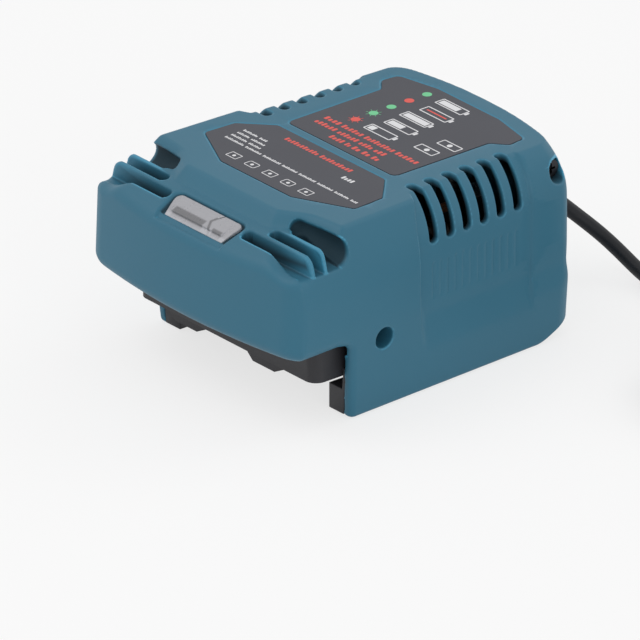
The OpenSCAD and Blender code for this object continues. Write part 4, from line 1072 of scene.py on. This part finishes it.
PLUG_LOW, PLUG_HIGH = node_box("plug_body")
PLUG_X, PLUG_Y, PLUG_Z = PLUG_LOW[0], (PLUG_LOW[1] + PLUG_HIGH[1]) / 2, (PLUG_LOW[2] + PLUG_HIGH[2]) / 2
PLUG_L, PLUG_W, PLUG_T = PLUG_HIGH - PLUG_LOW
PIN_GAP = 19.0
PIN_LOW, PIN_HIGH = node_box("plug_pins")


def plug_rings(sides=96):
    """The slim plug: rounded sections whose half width and half thickness change along it, from the neck at
    the cord over a waist with a ribbed grip to the wide head, whose end is rounded. A section is
    |y|^n + |z|^n = 1, and n grows from 2, round, to 4, boxy."""
    end_r, rib_pitch, rib_depth = 1.2, 1.8, 0.045
    along = np.concatenate([
        [0, 0.15], np.linspace(0.5, PLUG_L - end_r, 70), PLUG_L - np.array([0.8, 0.45, 0.15, 0])])
    to_end = np.clip((PLUG_L - along) / end_r, 0, 1)
    end = np.sqrt(to_end * (2 - to_end))
    neck = 3.3 + 0.5 * ramp(along, 0, 4)
    width = neck + (PLUG_W / 2 - 6 - neck) * ramp(along, 4, 15)
    width = width + 1.0 * ramp(along, 14, 26) + 4.9 * ramp(along, 25.5, 31)
    width = width - 1.0 + 1.0 * end
    thick = neck + (PLUG_T / 2 - neck) * ramp(along, 3, 14) - 0.7 * np.exp(-((along - 22) / 4) ** 2)
    thick = thick - 0.9 + 0.9 * end
    power = 2 + 2 * ramp(along, 3, 14)
    c, s = np.cos(around(sides))[None], np.sin(around(sides))[None]
    shape = 2 / power[:, None]
    y = width[:, None] * np.sign(c) * np.abs(c) ** shape
    z = thick[:, None] * np.sign(s) * np.abs(s) ** shape
    x = np.repeat(along[:, None], sides, 1)
    grip = (x > 16.5) & (x < 25.5) & (np.cos(2 * pi * x / rib_pitch) > 0.2)
    z = z * np.where(grip & (np.abs(c) < 0.75), 1 - rib_depth, 1)
    return np.stack([PLUG_X + x, PLUG_Y + y, PLUG_Z + z], -1)


def pin_rings(across, start, end, radius, tip):
    """A pin or its sleeve, with a tip of that radius."""
    bend = np.linspace(0, pi / 2, 8)
    rows = [(start, radius)] + [(end - tip + tip * sin(b), radius - tip + tip * cos(b)) for b in bend]
    rings = turned(rows)
    return rings + np.array([0, PLUG_Y + across * PIN_GAP / 2, PLUG_Z])


# ---------------------------------------------------------------- the labels' print

class Print:
    """Flat ink shapes on the label face, in millimetres: closed outlines, filled."""

    def __init__(self, height):
        self.height = height
        self.parts = []

    def ring(self, outer, inner, ink):
        """Ink between two outlines with the same number of points. An inner outline of one point fills it."""
        outer = np.asarray(outer, float)
        inner = np.broadcast_to(np.asarray(inner, float), outer.shape)
        low, high = TOP_Z - 0.01, TOP_Z + self.height
        rows = [(outer, low), (outer, high), (inner, high), (inner, low), (outer, low)]
        rings = np.array([np.column_stack([r, np.full(len(r), z)]) for r, z in rows])
        points, quads = skin(rings, closed_ends=False)
        self.parts.append((points, quads, ink))

    def disc(self, x, y, radius, ink, sides=28):
        angle = around(sides)
        self.ring(np.column_stack([x + radius * np.cos(angle), y + radius * np.sin(angle)]), (x, y), ink)

    def bar(self, x0, y0, x1, y1, ink, radius=0.3, line=None):
        """A bar with round corners, or only its outline of the given line width."""
        angle = np.radians(np.arange(0, 360, 15) + 7.5)
        c, s = np.cos(angle), np.sin(angle)

        def outline(inset, r):
            return np.column_stack([np.where(c > 0, x1 - inset - r, x0 + inset + r) + r * c,
                                    np.where(s > 0, y1 - inset - r, y0 + inset + r) + r * s])

        inner = ((x0 + x1) / 2, (y0 + y1) / 2) if line is None else outline(line, max(0.02, radius - line))
        self.ring(outline(0, radius), inner, ink)

    def shape(self, points, ink):
        """A filled outline that its middle sees whole."""
        points = np.asarray(points, float)
        self.ring(points, points.mean(0), ink)

    def piece(self, name, inks):
        points, quads = joined([(p, q) for p, q, ink in self.parts])
        mesh = quad_mesh(name, points, quads, smooth=False)
        slots = np.concatenate([np.full(len(q), ink, np.int32) for p, q, ink in self.parts])
        made = new_object(name, mesh, inks)
        mesh.polygons.foreach_set("material_index", slots)
        tidy(mesh)
        return made


def tidy(mesh):
    """Merges doubled points, drops empty faces and turns the faces outwards."""
    shape = bmesh.new()
    shape.from_mesh(mesh)
    bmesh.ops.remove_doubles(shape, verts=shape.verts, dist=1e-7)
    bmesh.ops.recalc_face_normals(shape, faces=shape.faces)
    shape.to_mesh(mesh)
    shape.free()


WHITE, RED, GREEN = 0, 1, 2


def status_guide(art, x, y):
    """Five rows of a plain guide to the lamps: a dot, and beside it a battery at some stage of charging.
    Rows run towards +Y, and each row's battery lies along X."""
    rows = [
        (RED, True, 0.25), (GREEN, True, 0.6), (GREEN, False, 1.0), (RED, False, 0.0), (GREEN, False, 0.8)]
    pitch = 6.9
    for k, (dot, flashes, charge) in enumerate(rows):
        at_y = y + k * pitch
        art.disc(x, at_y, 1.5, dot)
        if flashes:
            for ray in range(8):
                angle = 2 * pi * ray / 8 + pi / 8
                tips = ((1.8, angle - 0.09), (2.6, angle), (1.8, angle + 0.09))
                art.shape([(x + r * cos(a), at_y + r * sin(a)) for r, a in tips], dot)
        left = x + 5.6 + 1.1 * (k % 2)
        art.bar(left, at_y - 2.0, left + 12, at_y + 2.0, WHITE, 0.5, line=0.42)
        art.bar(left + 12.15, at_y - 0.9, left + 13.1, at_y + 0.9, WHITE, 0.25)
        if charge:
            art.bar(left + 0.9, at_y - 1.15, left + 0.9 + 10.2 * charge, at_y + 1.15, WHITE, 0.2)
        else:
            art.bar(left + 1.5, at_y - 0.3, left + 10.4, at_y + 0.3, RED, 0.15)


def rule_lines(art, x, y, pitch, height, rows, ink):
    """Rows of groups of small plain bars where small print would be. Each row lists the groups' lengths."""
    for k, lengths in enumerate(rows):
        at_x, at_y = x, y - k * pitch
        for length in lengths:
            count = round(length / (0.75 * height))
            for m in range(count):
                left = at_x + m * length / count
                rise = height * (1.0, 0.72, 0.9)[(m + k) % 3]
                art.bar(left, at_y, left + 0.68 * length / count, at_y + rise, ink, 0.16 * height)
            at_x += length + 0.9


def label_print(height):
    """Rows of bars, the guide and two framed dots on the rear label; more rows and five framed dots on the
    front one."""
    art = Print(height)
    rule_lines(art, -20.0, 11.6, 3.7, 2.1, [(7.0, 9.5, 13.5, 10.0), (9.5, 9.0, 6.0, 5.0)], RED)
    rule_lines(art, -8.9, 4.2, 3.7, 2.1, [(6.2, 2.4, 3.6, 3.6, 3.2)], RED)
    status_guide(art, -13.2, 18.4)
    for left, low in ((12.5, 19.0), (14.7, 26.0)):
        art.bar(left, low, left + 8.5, low + 3.6, WHITE, 0.5, line=0.4)
        art.disc(left + 4.25, low + 1.8, 0.9, WHITE)
    rule_lines(art, -16.0, -6.9, 3.1, 1.9, [(15.2, 14.4)], RED)
    rule_lines(art, 15.5, -11.3, 3.1, 1.8, [(5.2,)], WHITE)
    small = [(6.5, 3.4), (5.5, 6.2), (7.2, 5.4), (8.5, 7.2, 8.0, 6.8, 7.6, 7.0, 6.5, 3.0)]
    rule_lines(art, -28.5, -12.3, 2.35, 1.05, small, WHITE)
    for k in range(5):
        middle = -16.6 + 8.3 * k
        art.bar(middle - 2.3, -27.0, middle + 2.3, -23.8, WHITE, 0.8 if k % 2 else 0.3, line=0.28)
        art.disc(middle, -25.4, 0.6, WHITE)
    return art


# ---------------------------------------------------------------- the window

def bent_line(x, along):
    """Distance from the middle of the window's groove, which is nearest the middle where the window bends."""
    return np.abs(x - 4.0 - 0.58 * np.abs(along - 0.3)) * cos(radians(30))


def lens(x, y, z):
    """The clear window: it follows the outside, is cut back a little below its middle, and has round upper
    corners, a groove that bends where the window does, and a boss in the light well's mouth."""
    along, out = on_window(y, z)
    depth = crust(np.abs(x), y, z)
    face = ease(depth + PANE_SINK, depth + PANE_SINK + 0.19 * (0.3 - along), 0.2)
    plate = meet(meet(window_plan(x, along, *PANE_PLAN), face, 0.35), -depth - PANE_BACK, 0.1)
    groove = bent_line(x, along) - 0.45
    plate = meet(plate, -np.maximum(groove + 0.5 * (depth + 0.9), -depth - 0.9), 0.15)
    boss = rounded_box(x, along, out, (-11.8, -2.5, -2.5), (11.8, 2.5, 0), 0.3)
    return np.minimum(plate, boss)


def painted_window_shade(x, y, z):
    """Painted shade on the window: 1 over the two dark pockets that show through its lower half and along its
    groove, somewhat less on its front edge below its corner, and 0 elsewhere."""
    along = on_window(y, z)[0]
    front = 0.8 * ramp(-4.15 - along, -0.1, 0.05) * ramp(-crust(np.abs(x), y, z), 1.15, 1.3)
    pockets = [np.maximum(np.maximum(left - x, x - right), np.abs(along - middle) - half)
               for left, right, middle, half in SHADED_POCKETS]
    lines = np.maximum(front, ramp(0.55 - bent_line(x, along), -0.1, 0.3))
    return np.maximum(lines, ramp(-np.minimum(*pockets), -0.35, 0.35))


# ---------------------------------------------------------------- operators

SENSOR_W = 36
FLOOR_HALF = 4000
SLEEVE_L = 10.0


class CHARGER_OT_stage(bpy.types.Operator):
    """Makes the camera, the floor, the lamps and the white surroundings"""
    bl_idname = "charger.stage"
    bl_label = "Stage"

    def execute(self, context):
        settings = context.scene.charger_stage
        turn, rise = settings.azimuth, settings.elevation
        right = Vector((cos(turn), sin(turn), 0))
        towards = Vector((sin(turn) * cos(rise), -cos(turn) * cos(rise), sin(rise)))
        up = towards.cross(right)
        camera = bpy.data.objects.new("camera", bpy.data.cameras.new("camera"))
        camera.data.sensor_width = SENSOR_W
        camera.data.lens = SENSOR_W * settings.distance / settings.width
        camera.data.clip_start, camera.data.clip_end = 0.1, 50
        camera.location = right * settings.aim_right + up * settings.aim_up + towards * settings.distance
        camera.rotation_euler = Matrix((right, up, towards)).transposed().to_euler()
        context.scene.collection.objects.link(camera)
        context.scene.camera = camera

        corners = [(x * FLOOR_HALF, y * FLOOR_HALF, 0) for x, y in ((-1, -1), (1, -1), (1, 1), (-1, 1))]
        floor = bpy.data.objects.new("floor", quad_mesh("floor", corners, [(0, 1, 2, 3)], False))
        floor.location.z = -0.0002
        context.scene.collection.objects.link(floor)
        floor.data.materials.append(self.floor_finish(settings.floor))
        for name, place, size, power in (
                ("key", (-0.55, -0.75, 1.25), 0.9, settings.key),
                ("fill", (1.3, -0.35, 0.35), 0.8, settings.key * 0.7),
                ("back", (0.3, 1.3, 0.9), 0.9, settings.key * 0.6)):
            lamp = bpy.data.objects.new(name, bpy.data.lights.new(name, "AREA"))
            lamp.data.size = size
            lamp.data.energy = power
            lamp.location = place
            lamp.rotation_euler = Vector(place).to_track_quat("Z", "Y").to_euler()
            context.scene.collection.objects.link(lamp)
        self.surroundings(context, settings.ambient)
        context.scene.view_settings.view_transform = "Standard"
        return {"FINISHED"}

    def floor_finish(self, paleness):
        """A matt floor that the camera sees paler, with the object's shadow left on it."""
        finish = Finish("pale_floor", Roughness=0.9, Specular_IOR_Level=0.0)
        finish.set(Base_Color=finish.blend(finish.noise(0.5), (paleness,) * 3, (paleness * 1.01,) * 3))
        seen = finish.node("ShaderNodeLightPath", output="Is Camera Ray")
        for ray in ("Is Glossy Ray", "Is Transmission Ray"):
            seen = seen + finish.node("ShaderNodeLightPath", output=ray)
        glow = finish.node("ShaderNodeEmission", {}, {"Color": (1, 1, 1), "Strength": 1.0})
        shown = finish.node("ShaderNodeMixShader", {}, {
            0: seen * 0.72, 1: Value(finish, finish.shader.outputs[0]), 2: glow})
        output = finish.tree.nodes["Material Output"]
        finish.tree.links.new(shown.socket, output.inputs["Surface"])
        return finish.material

    def surroundings(self, context, ambient):
        """Plain light from all round, which is white where the camera, a reflection or glass sees it."""
        world = bpy.data.worlds.new("surroundings")
        world.use_nodes = True
        context.scene.world = world
        nodes, links = world.node_tree.nodes, world.node_tree.links
        nodes.clear()
        path = nodes.new("ShaderNodeLightPath")
        seen = path.outputs["Is Camera Ray"]
        for ray in ("Is Glossy Ray", "Is Transmission Ray"):
            either = nodes.new("ShaderNodeMath")
            either.operation = "MAXIMUM"
            links.new(seen, either.inputs[0])
            links.new(path.outputs[ray], either.inputs[1])
            seen = either.outputs[0]
        mix, output = nodes.new("ShaderNodeMixShader"), nodes.new("ShaderNodeOutputWorld")
        links.new(seen, mix.inputs[0])
        for k, strength in ((1, ambient), (2, 1)):
            light = nodes.new("ShaderNodeBackground")
            light.inputs["Color"].default_value = (1, 1, 1, 1)
            light.inputs["Strength"].default_value = strength
            links.new(light.outputs[0], mix.inputs[k])
        links.new(mix.outputs[0], output.inputs["Surface"])


class CHARGER_OT_cord(bpy.types.Operator):
    """Makes the mains cord with its coil, its strain relief, the plug and its pins"""
    bl_idname = "charger.cord"
    bl_label = "Mains cord"

    def execute(self, context):
        settings = context.scene.charger_cord
        route = np.concatenate([CORD_ROUTE, coil_points(settings.diameter), lead_points()])
        curve = bpy.data.curves.new("mains_cord_jacket", "CURVE")
        curve.dimensions = "3D"
        curve.bevel_depth = settings.diameter / 2
        curve.bevel_resolution = 5
        curve.use_fill_caps = True
        spline = curve.splines.new("NURBS")
        spline.points.add(len(route) - 1)
        spline.points.foreach_set("co", np.column_stack([route, np.ones(len(route))]).ravel())
        spline.order_u = 4
        spline.use_endpoint_u = True
        spline.resolution_u = 4
        cord = new_object("mains_cord_jacket", curve, [jacket("cord_jacket", settings.colour)])
        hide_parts("mains_cord", "cord_coil", "plug_lead")

        plastic = jacket("relief_rubber", tone(settings.colour, 1.1))
        line = np.concatenate([[(0, RELIEF_LOW[1] * MM, CORD_EXIT_Z * MM)], smooth_path(CORD_ROUTE)])
        rings = along_path(line, relief_profile(settings.relief_length / MM, settings.diameter / MM / 2))
        relief = self.surface("strain_relief_tail", [skin(rings)], plastic, "plug_plastic")
        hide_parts("strain_relief")

        shell = moulded_plastic("plug_plastic", settings.colour, 0.00001, 0.42)
        plug = self.surface("plug_shell", [skin(plug_rings())], shell, "plug_plastic")
        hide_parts("plug_body")
        start, end, sides = PIN_LOW[0], PIN_HIGH[0], (-1, 1)
        pins = [skin(pin_rings(side, start - 3, end, 2.0, 1.6)) for side in sides]
        sleeves = [skin(pin_rings(side, start - 2, start + SLEEVE_L, 2.06, 0.06)) for side in sides]
        metal = plain_metal("pin_metal", (0.78, 0.76, 0.72), 0.22)
        pin = self.surface("plug_pins_metal", pins, metal, "pin_metal")
        cover = self.surface("plug_pin_sleeves", sleeves, shell, "plug_plastic")
        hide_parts("plug_pins")
        return {"FINISHED"}

    def surface(self, name, parts, finish, slot):
        mesh = quad_mesh(name, *joined(parts))
        tidy(mesh)
        return new_object(name, mesh, [finish])


class CHARGER_OT_housing(bpy.types.Operator):
    """Makes the moulded housing with its vents, louvres, ribs and recesses"""
    bl_idname = "charger.housing"
    bl_label = "Housing"

    def execute(self, context):
        settings = context.scene.charger_housing
        step = settings.grid_step * 1
        grid = housing_grid(step / MM, settings.edge_radius / MM)
        # The housing's finish carries painted highlights and painted shade.
        plastic = moulded_plastic("housing_plastic", settings.colour, settings.grain, painted_light=True)
        # The depth mask gives painted shade deep inside the openings.
        shell = field_piece("housing_shell", grid, settings.triangles, plastic,
                            reach=0.7, masks={"depth": opening_shade})
        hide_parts("top_housing")
        return {"FINISHED"}


class CHARGER_OT_window(bpy.types.Operator):
    """Makes the clear window over the indicator lamps"""
    bl_idname = "charger.window"
    bl_label = "Window"

    def execute(self, context):
        grid = Grid((-16.5, WINDOW_Y - 6.5, WINDOW_Z - 6), (16.5, WINDOW_Y + 6, WINDOW_Z + 4), 0.2)
        grid.fill(lens)
        clear = window_plastic("window_clear", (0.46, 0.46, 0.49))
        # The window gets painted shade over its pockets, its groove and its front edge.
        pane = field_piece("window_lens", grid, 60000, clear, reach=0.4,
                           masks={"pocket_shade": painted_window_shade})
        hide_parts("led_window")
        give(lamp_lens("red_lens", (0.6, 0.05, 0.04)), "red_led")
        give(lamp_lens("green_lens", (0.07, 0.5, 0.14)), "green_led")
        return {"FINISHED"}


class CHARGER_OT_labels(bpy.types.Operator):
    """Finishes the two labels and prints a plain status guide on them"""
    bl_idname = "charger.labels"
    bl_label = "Labels"

    def execute(self, context):
        settings = context.scene.charger_label
        give(film("label_film", settings.film), "front_label", "rear_label")
        inks = [ink(name + "_ink", getattr(settings, name)) for name in ("white", "red", "green")]
        label_print(settings.ink / MM).piece("label_print", inks)
        return {"FINISHED"}


class CHARGER_OT_tray(bpy.types.Operator):
    """Finishes the battery tray, the rails, the terminal block and the screws"""
    bl_idname = "charger.tray"
    bl_label = "Battery tray"

    def execute(self, context):
        black = moulded_plastic("tray_plastic", (0.022, 0.022, 0.026), 0.000012)
        block = moulded_plastic("block_plastic", (0.03, 0.03, 0.032), 0.00001, 0.55)
        softened("battery_tray", 0.0004, black)
        softened("battery_rails", 0.0003, black)
        softened("terminal_block", 0.0003, block)
        give(plain_metal("contact_metal", (0.78, 0.66, 0.42), 0.25, (1, 8, 1)), "contact_blades")
        give(plain_metal("screw_steel", (0.55, 0.55, 0.56), 0.3), "board_screws", "clamp_screws")
        give(plain_metal("blacked_steel", (0.05, 0.05, 0.055), 0.4), "side_screws", "rear_screws")
        give(black, "cord_clamp")
        return {"FINISHED"}


class CHARGER_OT_electronics(bpy.types.Operator):
    """Finishes the circuit boards and the components on them"""
    bl_idname = "charger.electronics"
    bl_label = "Electronics"

    def execute(self, context):
        give(laminate("board_laminate", (0.03, 0.16, 0.07)), "circuit_board", "led_board")
        give(sleeve("ferrite", (0.05, 0.05, 0.053), 0.6, 0.00004), "transformer_core")
        give(wound("winding_tape", (0.05, 0.045, 0.02), 0.006, "Z"), "transformer_winding")
        give(sleeve("capacitor_sleeve", (0.03, 0.03, 0.08)), "bulk_capacitor", "output_capacitors")
        give(wound("choke_wire", (0.06, 0.03, 0.018), 0.001, "DIAGONAL"), "line_choke")
        give(sleeve("film_case", (0.20, 0.14, 0.04), 0.35), "film_capacitor")
        give(plain_metal("heatsink_metal", (0.78, 0.78, 0.80), 0.35, (1, 1, 8)),
             "switch_heatsink", "rectifier_heatsink")
        give(sleeve("device_case", (0.03, 0.03, 0.03), 0.55, 0.00002),
             "switching_transistor", "output_rectifier", "controller_chip")
        give(tube_glass("fuse_glass", (0.86, 0.88, 0.89)), "fuse")
        give(jacket("inner_jacket", context.scene.charger_cord.colour), "inner_cord")
        give(sleeve("lead_insulation", (0.30, 0.12, 0.05), 0.4), "cord_leads")
        return {"FINISHED"}


STEPS = (CHARGER_OT_stage, CHARGER_OT_cord, CHARGER_OT_housing, CHARGER_OT_window, CHARGER_OT_labels,
         CHARGER_OT_tray, CHARGER_OT_electronics)
SETTINGS = {"charger_stage": StageSettings, "charger_cord": CordSettings, "charger_housing": HousingSettings,
            "charger_label": LabelSettings}


class CHARGER_PT_panel(bpy.types.Panel):
    """Lists the settings and the steps that build the charger's looks"""
    bl_idname = "CHARGER_PT_panel"
    bl_label = "Charger"
    bl_space_type = "VIEW_3D"
    bl_region_type = "UI"
    bl_category = "Charger"

    def draw(self, context):
        for name, group in SETTINGS.items():
            box = self.layout.box()
            for prop in group.__annotations__:
                box.prop(getattr(context.scene, name), prop)
        for step in STEPS:
            self.layout.operator(step.bl_idname)


def register():
    for group in SETTINGS.values():
        bpy.utils.register_class(group)
    for name, group in SETTINGS.items():
        setattr(bpy.types.Scene, name, bpy.props.PointerProperty(type=group))
    for step in STEPS + (CHARGER_PT_panel,):
        bpy.utils.register_class(step)


def unregister():
    for step in reversed(STEPS + (CHARGER_PT_panel,)):
        bpy.utils.unregister_class(step)
    for name, group in SETTINGS.items():
        delattr(bpy.types.Scene, name)
        bpy.utils.unregister_class(group)


def main():
    register()
    bpy.ops.charger.stage()
    bpy.ops.charger.cord()
    bpy.ops.charger.housing()
    bpy.ops.charger.window()
    bpy.ops.charger.labels()
    bpy.ops.charger.tray()
    bpy.ops.charger.electronics()


if __name__ == "__main__":
    main()
